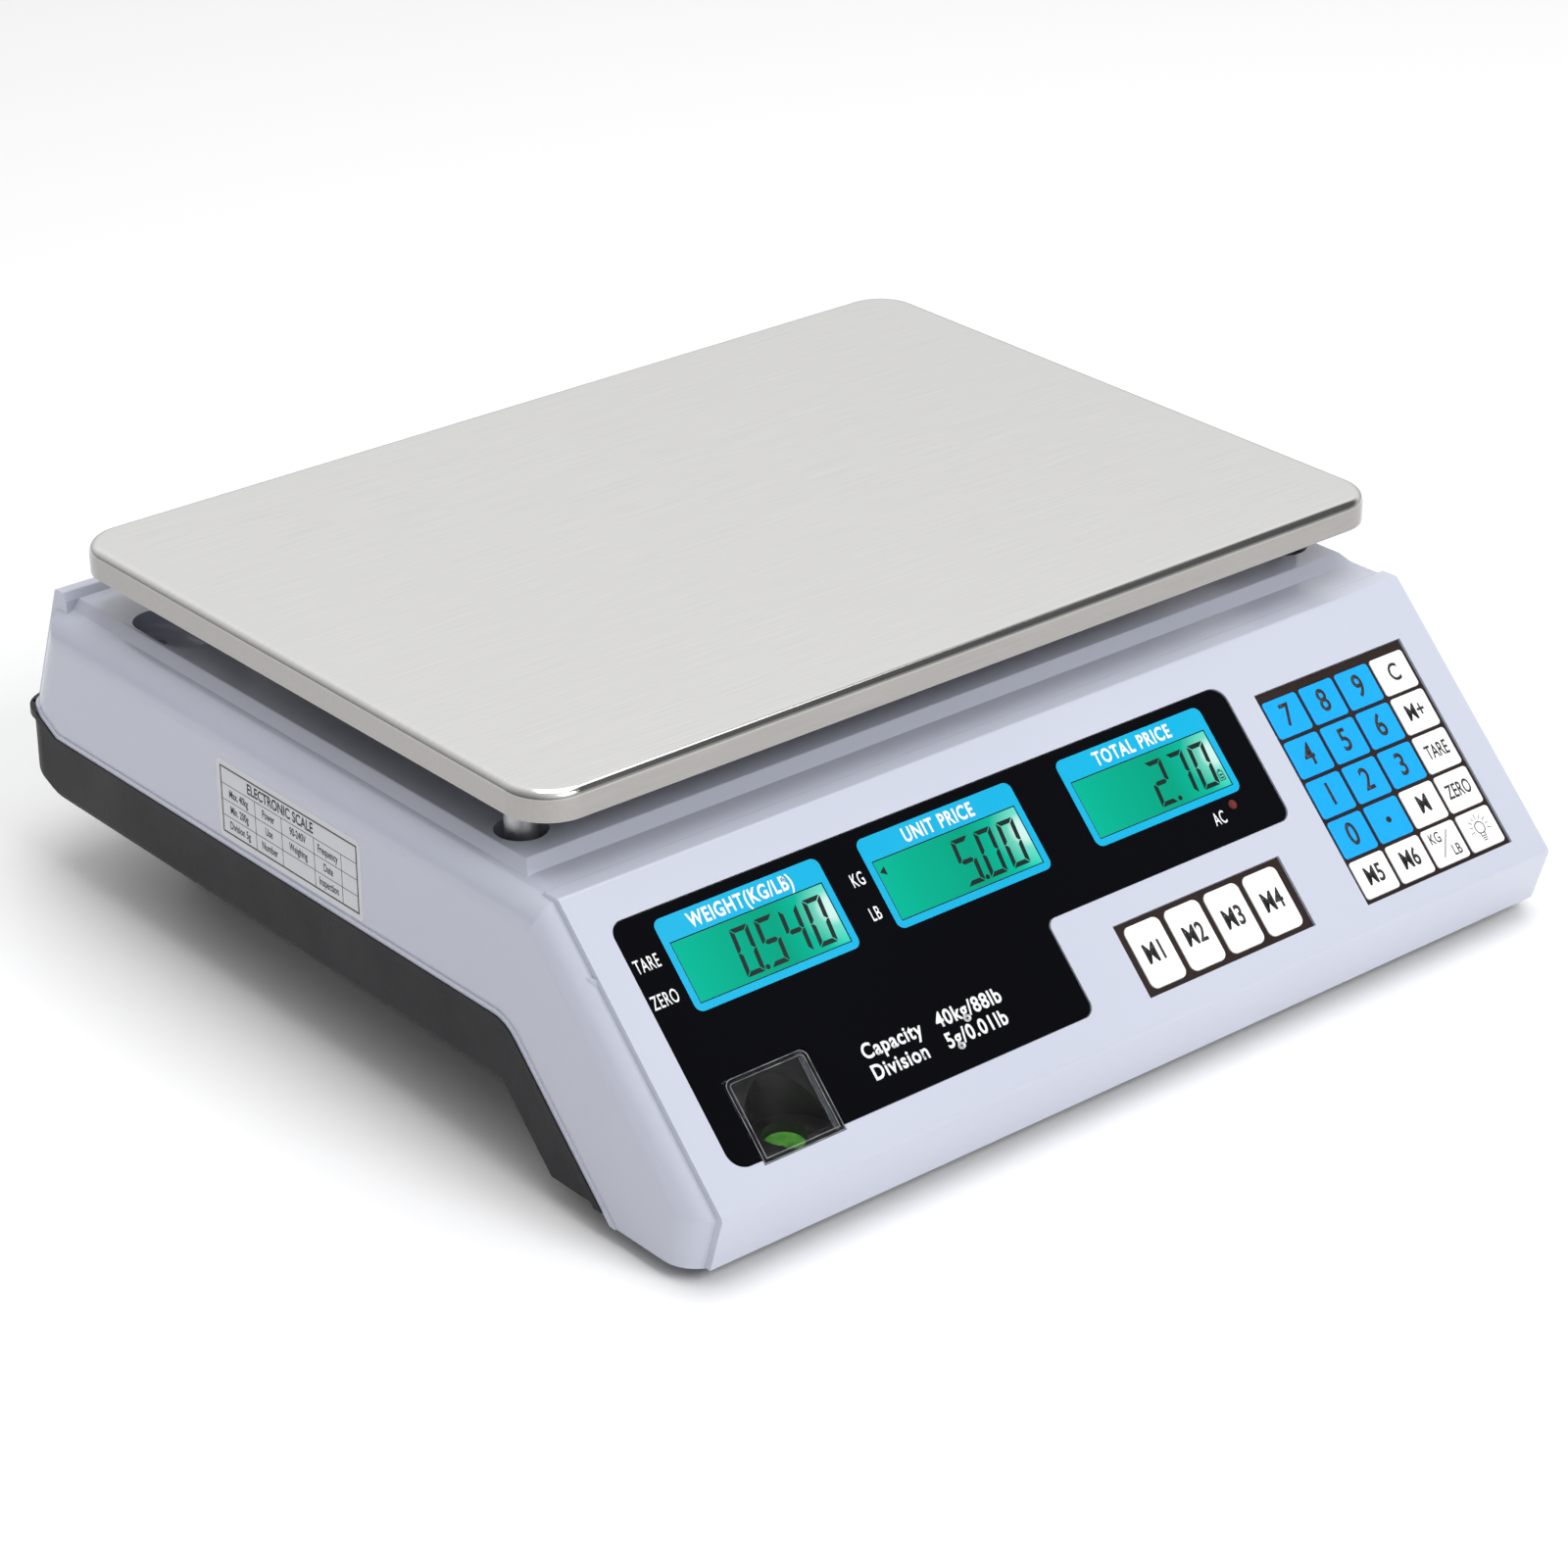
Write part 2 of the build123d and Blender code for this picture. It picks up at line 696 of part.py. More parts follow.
for lcd_name, x in zip(display_names, display_x):
    with BuildPart() as front_lcd:
        add(lcd_module(console, x, -display_down))
    front_lcd.part.label = lcd_name
    export_step(front_lcd.part, f"parts/{lcd_name}.step")

display_board_depth = recess_depth + 0.05 + lcd_body_depth + 0.05
display_board_x = (-143.0, 78.0)
display_board_down = (12.0, 60.0)
with BuildPart() as display_board:
    with BuildSketch(console.offset(-display_board_depth)):
        with Locations((sum(display_board_x) / 2, -sum(display_board_down) / 2)):
            Rectangle(display_board_x[1] - display_board_x[0], display_board_down[1] - display_board_down[0])
    extrude(amount=-board_thickness)
display_board.part.label = "display_board"
export_step(display_board.part, "parts/display_board.step")

with BuildPart() as ac_lamp:
    with BuildSketch(console.offset(-panel_set_back - 0.1)):
        with Locations((lamp_x, -lamp_down)):
            Circle(lamp_radius)
    extrude(amount=-(display_board_depth - panel_set_back - 0.1))
    with BuildSketch(console.offset(-recess_depth - wall)):
        with Locations((lamp_x, -lamp_down)):
            Circle(lamp_radius + 0.4)
    extrude(amount=-(display_board_depth - recess_depth - wall))
ac_lamp.part.label = "ac_lamp"
export_step(ac_lamp.part, "parts/ac_lamp.step")

with BuildPart() as rear_window:
    with BuildSketch(rear.offset(-panel_set_back)):
        RectangleRounded(rear_window_width, rear_window_height, 4)
        with Locations(*[(x, 0) for x in rear_display_x]):
            Rectangle(lcd_width + 0.4, lcd_height + 0.3, mode=Mode.SUBTRACT)
    extrude(amount=-panel_thickness)
rear_window.part.label = "rear_window"
export_step(rear_window.part, "parts/rear_window.step")

with BuildPart() as rear_lcds:
    for x in rear_display_x:
        add(lcd_module(rear, x, 0))
rear_lcds.part.label = "rear_lcds"
export_step(rear_lcds.part, "parts/rear_lcds.step")

rear_board_size = (226.0, 26.0)
with BuildPart() as rear_board:
    with BuildSketch(rear.offset(-display_board_depth)):
        Rectangle(*rear_board_size)
    extrude(amount=-board_thickness)
rear_board.part.label = "rear_board"
export_step(rear_board.part, "parts/rear_board.step")

# ---- spirit level: clear window, holder and round vial -------------------------------------------
window_depth = 3.7
window_wall = 1.3
with BuildPart() as level_window:
    with BuildSketch(console):
        with Locations((level_x, -level_down)):
            Rectangle(level_width, level_height)
    extrude(amount=-window_depth)
    upper_corners = level_window.edges().filter_by(Axis((0, 0, 0), (0, -1, 1))).group_by(Axis.Z)[-1]
    fillet(upper_corners, 2.5)
    with BuildSketch(console.offset(-1.4)):
        with Locations((level_x, -level_down)):
            Rectangle(level_width - 2 * window_wall, level_height - 2 * window_wall)
    extrude(amount=-window_depth, mode=Mode.SUBTRACT)
level_window.part.label = "level_window"
export_step(level_window.part, "parts/level_window.step")

holder_depth = 3.9
holder_slope = console_top_z - console_top_y - holder_depth / half_root
holder_front_y = -168.3
holder_rear_y = -146.5
holder_bottom = 20.0
holder_outline = (
    (holder_front_y, holder_bottom),
    (holder_front_y, holder_front_y + holder_slope),
    (holder_rear_y, holder_rear_y + holder_slope),
    (holder_rear_y, holder_bottom),
)
dish_floor = 31.0
vial_floor = 21.6
vial_height = 6.6
with BuildPart() as level_holder:
    with BuildSketch(Plane.YZ.offset(level_x)):
        with BuildLine():
            Polyline(*holder_outline, close=True)
        make_face()
    extrude(amount=level_width / 2, both=True)
    with Locations((level_x, dish_y, dish_floor)):
        Cylinder(dish_radius, 30, align=standing, mode=Mode.SUBTRACT)
    with Locations((level_x, vial_y, vial_floor)):
        Cylinder(vial_radius + fit_gap, 20, align=standing, mode=Mode.SUBTRACT)
level_holder.part.label = "level_holder"
export_step(level_holder.part, "parts/level_holder.step")

with BuildPart() as level_vial:
    with Locations((level_x, vial_y, vial_floor)):
        Cylinder(vial_radius, vial_height, align=standing)
    fillet(level_vial.faces().sort_by(Axis.Z)[-1].edges(), 0.8)
level_vial.part.label = "level_vial"
export_step(level_vial.part, "parts/level_vial.step")

# ---- keypads: frames, keys, board and metal domes --------------------------------------------------
with BuildPart() as keypad_frame:
    with BuildSketch(console.offset(-frame_set_back)):
        with Locations((keypad_x, -keypad_down)):
            Rectangle(keypad_width, keypad_height)
        for _, width, height, corner, x, down in key_spots()[:20]:
            with Locations((x, -down)):
                opening = (width + 2 * key_gap, height + 2 * key_gap, corner + key_gap)
                RectangleRounded(*opening, mode=Mode.SUBTRACT)
    extrude(amount=-frame_thickness)
keypad_frame.part.label = "keypad_frame"
export_step(keypad_frame.part, "parts/keypad_frame.step")

with BuildPart() as memory_keypad_frame:
    with BuildSketch(console.offset(-frame_set_back)):
        with Locations((memory_x, -memory_down)):
            Rectangle(memory_width, memory_height)
        for _, width, height, corner, x, down in key_spots()[20:]:
            with Locations((x, -down)):
                opening = (width + 2 * key_gap, height + 2 * key_gap, corner + key_gap)
                RectangleRounded(*opening, mode=Mode.SUBTRACT)
    extrude(amount=-frame_thickness)
memory_keypad_frame.part.label = "memory_keypad_frame"
export_step(memory_keypad_frame.part, "parts/memory_keypad_frame.step")

flange_top = frame_set_back + frame_thickness + 0.05
flange_bottom = flange_top + 0.5
stem_bottom = 2.9
stem_radius = 2.0
dome_top = 3.4
for key_name, width, height, corner, x, down in key_spots():
    with BuildPart() as key:
        with BuildSketch(console.offset(-key_set_back)):
            with Locations((x, -down)):
                RectangleRounded(width, height, corner)
        extrude(amount=-(flange_bottom - key_set_back))
        fillet(key.faces().sort_by(Axis((0, 0, 0), (0, -1, 1)))[-1].edges(), 0.3)
        with BuildSketch(console.offset(-flange_top)):
            with Locations((x, -down)):
                RectangleRounded(width + 2 * key_flange, height + 2 * key_flange, corner + key_flange)
        extrude(amount=-(flange_bottom - flange_top))
        with BuildSketch(console.offset(-flange_bottom)):
            with Locations((x, -down)):
                Circle(stem_radius)
        extrude(amount=-(stem_bottom - flange_bottom))
    key.part.label = key_name
    export_step(key.part, f"parts/{key_name}.step")

keypad_board_depth = 3.9
keypad_board_areas = (
    ((88.0, 158.5), (15.0, 93.0)),
    ((-4.0, 88.0), (63.0, 93.0)),
)
dome_radius = 3.6
with BuildPart() as keypad_board:
    with BuildSketch(console.offset(-keypad_board_depth)):
        for (left, right), (upper, lower) in keypad_board_areas:
            with Locations(((left + right) / 2, -(upper + lower) / 2)):
                Rectangle(right - left, lower - upper)
    extrude(amount=-board_thickness)
    with BuildSketch(console.offset(-keypad_board_depth)):
        with Locations(*[(x, -down) for _, _, _, _, x, down in key_spots()]):
            Circle(dome_radius)
    extrude(amount=keypad_board_depth - dome_top)
keypad_board.part.label = "keypad_board"
export_step(keypad_board.part, "parts/keypad_board.step")

# ---- weighing mechanism: load cell, support frame, pads and bolts -------------------------------------
cell_top = cell_base + cell_height
cell_middle = cell_base + cell_height / 2
cell_hole_x = 9.0
cell_hole_radius = 8.0
cell_thread_depth = 14.0
with BuildPart() as load_cell:
    with Locations((0, platter_centre_y, cell_middle)):
        Box(2 * cell_half_length, 2 * cell_half_width, cell_height)
    with BuildSketch(Plane.XZ.offset(-platter_centre_y)):
        with Locations((-cell_hole_x, cell_middle), (cell_hole_x, cell_middle)):
            Circle(cell_hole_radius)
        with Locations((0, cell_middle)):
            Rectangle(2 * cell_hole_x, 7)
    extrude(amount=cell_half_width, both=True, mode=Mode.SUBTRACT)
    with Locations(*[(-x, platter_centre_y, cell_base) for x in cell_bolts]):
        Cylinder(3, cell_thread_depth, align=standing, mode=Mode.SUBTRACT)
    with Locations(*[(x, platter_centre_y, cell_top) for x in cell_bolts]):
        Cylinder(3, cell_thread_depth, align=hanging, mode=Mode.SUBTRACT)
load_cell.part.label = "load_cell"
export_step(load_cell.part, "parts/load_cell.step")

with BuildPart() as load_cell_bolts:
    seat = rear_base_height + bolt_recess
    with Locations(*[(-x, platter_centre_y, seat) for x in cell_bolts]):
        Cylinder(bolt_head_radius, bolt_head_height, align=hanging)
        Cylinder(bolt_radius, 16, align=standing)
load_cell_bolts.part.label = "load_cell_bolts"
export_step(load_cell_bolts.part, "parts/load_cell_bolts.step")

arm_base = cell_top + 4.0
arm_thickness = 4.0
arm_top = arm_base + arm_thickness


def arm_sketch(width):
    """Four straight arms from the platter's centre out to the posts."""
    for x, y in post_places:
        reach = y - platter_centre_y
        with Locations((x / 2, platter_centre_y + reach / 2)):
            Rectangle(hypot(x, reach), width, rotation=degrees(atan2(reach, x)))


post_top = 118.0
frame_plate = (150.0, 56.0)
arm_width = 20.0
rib_width = 4.0
rib_height = 7.0
with BuildPart() as support_frame:
    with BuildSketch(Plane.XY.offset(arm_base)):
        with Locations((0, platter_centre_y)):
            Rectangle(*frame_plate)
        arm_sketch(arm_width)
        with Locations(*post_places):
            Circle(arm_width / 2)
    extrude(amount=arm_thickness)
    with BuildSketch(Plane.XY.offset(arm_top)):
        arm_sketch(rib_width)
    extrude(amount=rib_height)
    with Locations(*[(x, y, arm_base) for x, y in post_places]):
        Cylinder(8, 10, align=standing)
        Cylinder(post_radius, post_top - arm_base, align=standing)
    with Locations((cell_pad_x, platter_centre_y, cell_top)):
        Box(30, 30, arm_base - cell_top, align=standing)
    with Locations(*[(x, platter_centre_y, cell_top) for x in cell_bolts]):
        Cylinder(bolt_hole_radius, 10, align=standing, mode=Mode.SUBTRACT)
support_frame.part.label = "support_frame"
export_step(support_frame.part, "parts/support_frame.step")

with BuildPart() as frame_bolts:
    with Locations(*[(x, platter_centre_y, arm_top) for x in cell_bolts]):
        Cylinder(bolt_head_radius, bolt_head_height, align=standing)
        Cylinder(bolt_radius, 20, align=hanging)
frame_bolts.part.label = "frame_bolts"
export_step(frame_bolts.part, "parts/frame_bolts.step")

pad_radius = 7.2
pad_bottom = 114.0
with BuildPart() as support_pads:
    with Locations(*[(x, y, pad_bottom) for x, y in post_places]):
        Cylinder(pad_radius, platter_top - platter_sheet - pad_bottom, align=standing)
        Cylinder(post_radius + 0.05, post_top - pad_bottom, align=standing, mode=Mode.SUBTRACT)
support_pads.part.label = "support_pads"
export_step(support_pads.part, "parts/support_pads.step")

# ---- electronics and power ---------------------------------------------------------------------------
board_bottom = front_floor_top + standoff_height
main_board_spot = (-40.0, -136.0)
main_board_size = (120.0, 48.0)
with BuildPart() as main_board:
    with BuildSketch(Plane.XY.offset(board_bottom)):
        with Locations(main_board_spot):
            Rectangle(*main_board_size)
    extrude(amount=board_thickness)
    board_top = board_bottom + board_thickness
    with Locations((-60, -140, board_top), (-10, -128, board_top)):
        Box(16, 16, 2.2, align=standing)
    with Locations((-85, -122, board_top), (5, -150, board_top)):
        Cylinder(4, 8, align=standing)
main_board.part.label = "main_board"
export_step(main_board.part, "parts/main_board.step")

# ribbons from the main board to the display and keypad boards, and the load cell's lead
ribbon_thickness = 0.8
lead_radius = 2.0
cell_side_y = platter_centre_y - cell_half_width
lead_route = (
    (-50, cell_side_y, 50),
    (-50, cell_side_y - 16, 50),
    (-50, -75, 40),
    (-50, -102, 26),
    (-50, -122, 26),
    (-50, -122, board_top),
)
ribbon_end_gap = 2.0
ribbons = (
    (-30.0, -134.0, 24.0, display_board_depth + board_thickness),
    (8.0, -156.0, 14.0, keypad_board_depth + board_thickness),
)
with BuildPart() as wiring:
    for x, y, width, board_back in ribbons:
        underside = console_top_z - console_top_y - board_back / half_root
        with Locations((x, y, board_top)):
            Box(width, ribbon_thickness, underside + y - ribbon_end_gap - board_top, align=standing)
    with BuildLine() as lead_path:
        FilletPolyline(*lead_route, radius=(7, 10, 8, 5))
    with BuildSketch(Plane(origin=lead_route[0], z_dir=(0, -1, 0))):
        Circle(lead_radius)
    sweep(path=lead_path.line)
wiring.part.label = "wiring"
export_step(wiring.part, "parts/wiring.step")

transformer_spot = (116.0, 25.0)
core_size = (42.0, 20.0, 34.0)
winding_size = (28.0, 36.0, 26.0)
with BuildPart() as transformer:
    with Locations((*transformer_spot, floor_top)):
        Box(*core_size, align=standing)
    with Locations((*transformer_spot, floor_top + (core_size[2] - winding_size[2]) / 2)):
        Box(*winding_size, align=standing)
transformer.part.label = "transformer"
export_step(transformer.part, "parts/transformer.step")

terminal_x = -38.0
terminal_size = (6.0, 0.8, 5.0)
with BuildPart() as battery:
    with Locations((0, battery_y, floor_top)):
        Box(*battery_size, align=standing)
    fillet(battery.edges().filter_by(Axis.Z), 2)
    battery_top = floor_top + battery_size[2]
    with Locations(*[(terminal_x, battery_y + dy, battery_top) for dy in (-12, 12)]):
        Box(*terminal_size, align=standing)
battery.part.label = "battery"
export_step(battery.part, "parts/battery.step")

with BuildPart() as battery_cover:
    with BuildSketch(Plane.XY.offset(rear_base_height)):
        with Locations((0, battery_y)):
            RectangleRounded(cover_size[0] - 0.6, cover_size[1] - 0.6, 2.7)
    extrude(amount=cover_step)
    with BuildSketch(Plane.XY.offset(rear_base_height + cover_step)):
        with Locations((0, battery_y)):
            Rectangle(cover_hole[0] - 0.6, cover_hole[1] - 0.6)
    extrude(amount=wall - cover_step)
    with BuildSketch(Plane.XY.offset(rear_base_height)):
        with Locations(*[(0, battery_y - offset) for offset in (23, 26, 29)]):
            SlotOverall(24, 1.4)
    extrude(amount=0.6, mode=Mode.SUBTRACT)
battery_cover.part.label = "battery_cover"
export_step(battery_cover.part, "parts/battery_cover.step")

flange_thickness = 1.4
switch_flange = (21.4, 15.4)
switch_depth = 13.0
rocker_hole = (18.4, 11.2)
pivot_x = service_face - 2.6
pivot_radius = 1.2
with BuildPart() as power_switch:
    with BuildSketch(service_plane):
        with Locations((switch_y, 0)):
            RectangleRounded(*switch_flange, 1)
    extrude(amount=flange_thickness)
    with BuildSketch(service_plane):
        with Locations((switch_y, 0)):
            Rectangle(switch_hole[0] - 0.2, switch_hole[1] - 0.2)
    extrude(amount=-switch_depth)
    with BuildSketch(service_plane.offset(flange_thickness)):
        with Locations((switch_y, 0)):
            Rectangle(rocker_hole[0], rocker_hole[1])
    extrude(amount=-9, mode=Mode.SUBTRACT)
    with BuildSketch(Plane.XY.offset(service_z)):
        with Locations((pivot_x, switch_y)):
            Circle(pivot_radius + 0.05)
    extrude(amount=6.2, both=True, mode=Mode.SUBTRACT)
power_switch.part.label = "power_switch"
export_step(power_switch.part, "parts/power_switch.step")

rocker_tilt = 8.0
rocker_outline = ((-2.6, 0), (0.6, -8.0), (4.5, -8.0), (3.4, 0), (4.5, 8.0), (0.6, 8.0))
rocker_plane = Plane(origin=(pivot_x, switch_y, service_z)).rotated((0, 0, rocker_tilt))
with BuildPart() as power_rocker:
    with BuildSketch(rocker_plane):
        with BuildLine():
            Polyline(*rocker_outline, close=True)
        make_face()
    extrude(amount=5.3, both=True)
    with BuildSketch(rocker_plane):
        Circle(pivot_radius)
    extrude(amount=6.0, both=True)
power_rocker.part.label = "power_rocker"
export_step(power_rocker.part, "parts/power_rocker.step")

pin_spread = 4.3
pin_radius = 1.15
pin_length = 10.0
inlet_flange = (30.0, 16.0)
inlet_depth = 17.0
socket_depth = 14.0
with BuildPart() as mains_inlet:
    with BuildSketch(service_plane):
        with Locations((inlet_y, 0)):
            RectangleRounded(*inlet_flange, 1.5)
    extrude(amount=flange_thickness)
    with BuildSketch(service_plane):
        with Locations((inlet_y, 0)):
            Rectangle(inlet_hole[0] - 0.2, inlet_hole[1] - 0.2)
    extrude(amount=-inlet_depth)
    with BuildSketch(service_plane.offset(flange_thickness)):
        with Locations((inlet_y, 0)):
            SlotCenterToCenter(2 * pin_spread, 2 * pin_spread)
    extrude(amount=-socket_depth, mode=Mode.SUBTRACT)
    with BuildSketch(service_plane.offset(flange_thickness - socket_depth)):
        with Locations((inlet_y - pin_spread, 0), (inlet_y + pin_spread, 0)):
            Circle(pin_radius)
    extrude(amount=pin_length)
mains_inlet.part.label = "mains_inlet"
export_step(mains_inlet.part, "parts/mains_inlet.step")

# ---- levelling feet ------------------------------------------------------------------------------------
foot_radius = 14.0
foot_disc = 6.5
foot_stud_length = 36.0
for side, side_name in ((-1, "left"), (1, "right")):
    for y, end_name in zip(foot_ys, ("front", "rear")):
        with BuildPart() as foot:
            with Locations((side * foot_x, y, 0)):
                Cylinder(foot_radius, foot_disc, align=standing)
            fillet(foot.faces().sort_by(Axis.Z)[-1].edges(), 1.5)
            fillet(foot.faces().sort_by(Axis.Z)[0].edges(), 0.6)
            with Locations((side * foot_x, y, 0)):
                Cylinder(foot_thread_radius, foot_stud_length, align=standing)
        foot_name = f"foot_{end_name}_{side_name}"
        foot.part.label = foot_name
        export_step(foot.part, f"parts/{foot_name}.step")
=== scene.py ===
import math

import bmesh
import bpy
from mathutils import Matrix, Vector
from mathutils.geometry import tessellate_polygon


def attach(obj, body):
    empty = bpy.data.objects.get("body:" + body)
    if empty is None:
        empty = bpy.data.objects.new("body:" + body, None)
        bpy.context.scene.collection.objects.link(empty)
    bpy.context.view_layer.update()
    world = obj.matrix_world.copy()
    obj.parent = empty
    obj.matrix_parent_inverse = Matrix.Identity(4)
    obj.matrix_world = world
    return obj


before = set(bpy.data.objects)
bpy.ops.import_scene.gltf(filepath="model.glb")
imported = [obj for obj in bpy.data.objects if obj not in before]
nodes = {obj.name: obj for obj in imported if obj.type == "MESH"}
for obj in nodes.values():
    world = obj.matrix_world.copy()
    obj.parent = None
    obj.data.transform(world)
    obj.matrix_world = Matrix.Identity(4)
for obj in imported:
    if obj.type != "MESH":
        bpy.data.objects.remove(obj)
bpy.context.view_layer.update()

MM = 0.001

# ------------------------------------------------------------------ planes of the two panels
HALF_ROOT = math.sqrt(0.5)
REAR_RUN, REAR_RISE = 14.0, 38.0
REAR_LENGTH = math.hypot(REAR_RUN, REAR_RISE)


class Face:
    """A flat face of a CAD node: its centre, its directions and its size, read from the mesh."""

    def __init__(self, node, right, normal, pick=None):
        self.right = Vector(right)
        self.normal = Vector(normal)
        self.up = self.normal.cross(self.right)
        points = [v.co for v in nodes[node].data.vertices]
        if pick:
            points = [p for p in points if pick(p)]
        level = max(p.dot(self.normal) for p in points)
        top = [p for p in points if p.dot(self.normal) > level - 0.05 * MM]
        across = [p.dot(self.right) for p in top]
        along = [p.dot(self.up) for p in top]
        self.width = max(across) - min(across)
        self.height = max(along) - min(along)
        self.left = min(across)
        self.top = max(along)
        self.level = level
        self.centre = (
            self.right * (max(across) + min(across)) / 2
            + self.up * (max(along) + min(along)) / 2
            + self.normal * level
        )

    def matrix(self, x=0.0, y=0.0, lift=0.0):
        """Places a flat drawing at (x, y) millimetres from the centre, lifted off the face."""
        spot = self.centre + (self.right * x + self.up * y + self.normal * lift) * MM
        m = Matrix((self.right, self.up, self.normal)).transposed().to_4x4()
        m.translation = spot
        return m


CONSOLE_RIGHT = (1, 0, 0)
CONSOLE_NORMAL = (0, -HALF_ROOT, HALF_ROOT)
REAR_RIGHT = (-1, 0, 0)
REAR_NORMAL = (0, REAR_RISE / REAR_LENGTH, REAR_RUN / REAR_LENGTH)


def console_face(node, pick=None):
    return Face(node, CONSOLE_RIGHT, CONSOLE_NORMAL, pick)


def rear_face(node, pick=None):
    return Face(node, REAR_RIGHT, REAR_NORMAL, pick)


# ------------------------------------------------------------------ mesh helpers
def new_object(name, mesh, material, body):
    obj = bpy.data.objects.new(name, mesh)
    bpy.context.scene.collection.objects.link(obj)
    if material:
        obj.data.materials.append(material)
    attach(obj, body)
    return obj


def flat_mesh(name, shapes, thickness, matrix):
    """Thin printed shapes: each shape is an outline followed by its holes, in millimetres."""
    mesh = bpy.data.meshes.new(name)
    bm = bmesh.new()
    for loops in shapes:
        flat = [[Vector((x, y, 0.0)) for x, y in loop] for loop in loops]
        points = [p for loop in flat for p in loop]
        top = [bm.verts.new((matrix @ (p * MM + Vector((0, 0, thickness * MM))))) for p in points]
        base = [bm.verts.new((matrix @ (p * MM))) for p in points]
        for a, b, c in tessellate_polygon(flat):
            bm.faces.new((top[a], top[b], top[c]))
            bm.faces.new((base[c], base[b], base[a]))
        start = 0
        for loop in flat:
            count = len(loop)
            for i in range(count):
                j = start + (i + 1) % count
                i += start
                bm.faces.new((base[i], base[j], top[j], top[i]))
            start += count
    bmesh.ops.recalc_face_normals(bm, faces=bm.faces)
    bm.to_mesh(mesh)
    bm.free()
    return mesh


def rounded(width, height, radius, x=0.0, y=0.0, steps=6):
    """Corner points of a rounded rectangle, in millimetres; radius is one number or four."""
    radii = radius if isinstance(radius, (tuple, list)) else (radius,) * 4
    points = []
    for k, (sx, sy) in enumerate(((1, 1), (-1, 1), (-1, -1), (1, -1))):
        r = radii[k]
        cx = x + sx * (width / 2 - r)
        cy = y + sy * (height / 2 - r)
        for s in range(steps + 1 if r > 0 else 1):
            a = math.pi / 2 * (k + (s / steps if r > 0 else 0))
            points.append((cx + r * math.cos(a), cy + r * math.sin(a)))
    return points


def disc(x, y, radius, steps=20):
    """Points round a circle, in millimetres."""
    turns = [2 * math.pi * k / steps for k in range(steps)]
    return [(x + radius * math.cos(a), y + radius * math.sin(a)) for a in turns]


def text_mesh(text, size, bold=0.0, width=1.0, spacing=1.0, align="CENTER", x=0.0, y=0.0):
    """A line of lettering as a mesh in millimetres, drawn with Blender's own font."""
    curve = bpy.data.curves.new("lettering", "FONT")
    curve.body = text
    curve.size = size
    curve.offset = bold
    curve.space_character = spacing
    curve.align_x = align
    curve.align_y = "CENTER"
    curve.resolution_u = 5
    curve.fill_mode = "FRONT"
    holder = bpy.data.objects.new("lettering", curve)
    bpy.context.scene.collection.objects.link(holder)
    bpy.context.view_layer.update()
    mesh = bpy.data.meshes.new_from_object(holder)
    bpy.data.objects.remove(holder)
    bpy.data.curves.remove(curve)
    mesh.transform(Matrix.Diagonal((width, 1, 1, 1)))
    mesh.transform(Matrix.Translation((x, y, 0)))
    return mesh


def lettering(name, lines, thickness, matrix):
    """Several lines of lettering made into one thin raised print."""
    bm = bmesh.new()
    for line in lines:
        mesh = text_mesh(**line)
        bm.from_mesh(mesh)
        bpy.data.meshes.remove(mesh)
    bmesh.ops.remove_doubles(bm, verts=bm.verts, dist=0.001)
    bmesh.ops.recalc_face_normals(bm, faces=bm.faces)
    down = [f for f in bm.faces if f.normal.z < 0]
    bmesh.ops.reverse_faces(bm, faces=down)
    grown = bmesh.ops.extrude_face_region(bm, geom=list(bm.faces))
    raised = [g for g in grown["geom"] if isinstance(g, bmesh.types.BMVert)]
    bmesh.ops.translate(bm, verts=raised, vec=(0, 0, thickness))
    bmesh.ops.recalc_face_normals(bm, faces=bm.faces)
    bm.transform(matrix @ Matrix.Scale(MM, 4))
    mesh = bpy.data.meshes.new(name)
    bm.to_mesh(mesh)
    bm.free()
    return mesh


# ------------------------------------------------------------------ materials
def material(name):
    m = bpy.data.materials.new(name)
    m.use_nodes = True
    tree = m.node_tree
    shader = tree.nodes["Principled BSDF"]
    return m, tree, shader


def node(tree, kind, **values):
    n = tree.nodes.new(kind)
    for key, value in values.items():
        if key.startswith("in_"):
            n.inputs[key[3:].replace("_", " ")].default_value = value
        else:
            setattr(n, key, value)
    return n


def ramp(tree, source, stops):
    n = tree.nodes.new("ShaderNodeValToRGB")
    while len(n.color_ramp.elements) < len(stops):
        n.color_ramp.elements.new(0.5)
    for element, (place, value) in zip(n.color_ramp.elements, stops):
        element.position = place
        element.color = (*value, 1) if len(value) == 3 else value
    tree.links.new(source, n.inputs["Fac"])
    return n


def noise(tree, coords, scale, detail=3.0, rough=0.5, stretch=None):
    source = coords
    if stretch:
        mapping = node(tree, "ShaderNodeMapping")
        mapping.inputs["Scale"].default_value = stretch
        tree.links.new(coords, mapping.inputs["Vector"])
        source = mapping.outputs["Vector"]
    n = node(tree, "ShaderNodeTexNoise", in_Scale=scale, in_Detail=detail, in_Roughness=rough)
    tree.links.new(source, n.inputs["Vector"])
    return n.outputs["Fac"]


def coordinates(tree, kind="Object"):
    return tree.nodes.new("ShaderNodeTexCoord").outputs[kind]


def bump(tree, shader, height, strength, distance):
    b = node(tree, "ShaderNodeBump", in_Strength=strength, in_Distance=distance)
    tree.links.new(height, b.inputs["Height"])
    tree.links.new(b.outputs["Normal"], shader.inputs["Normal"])
    return b


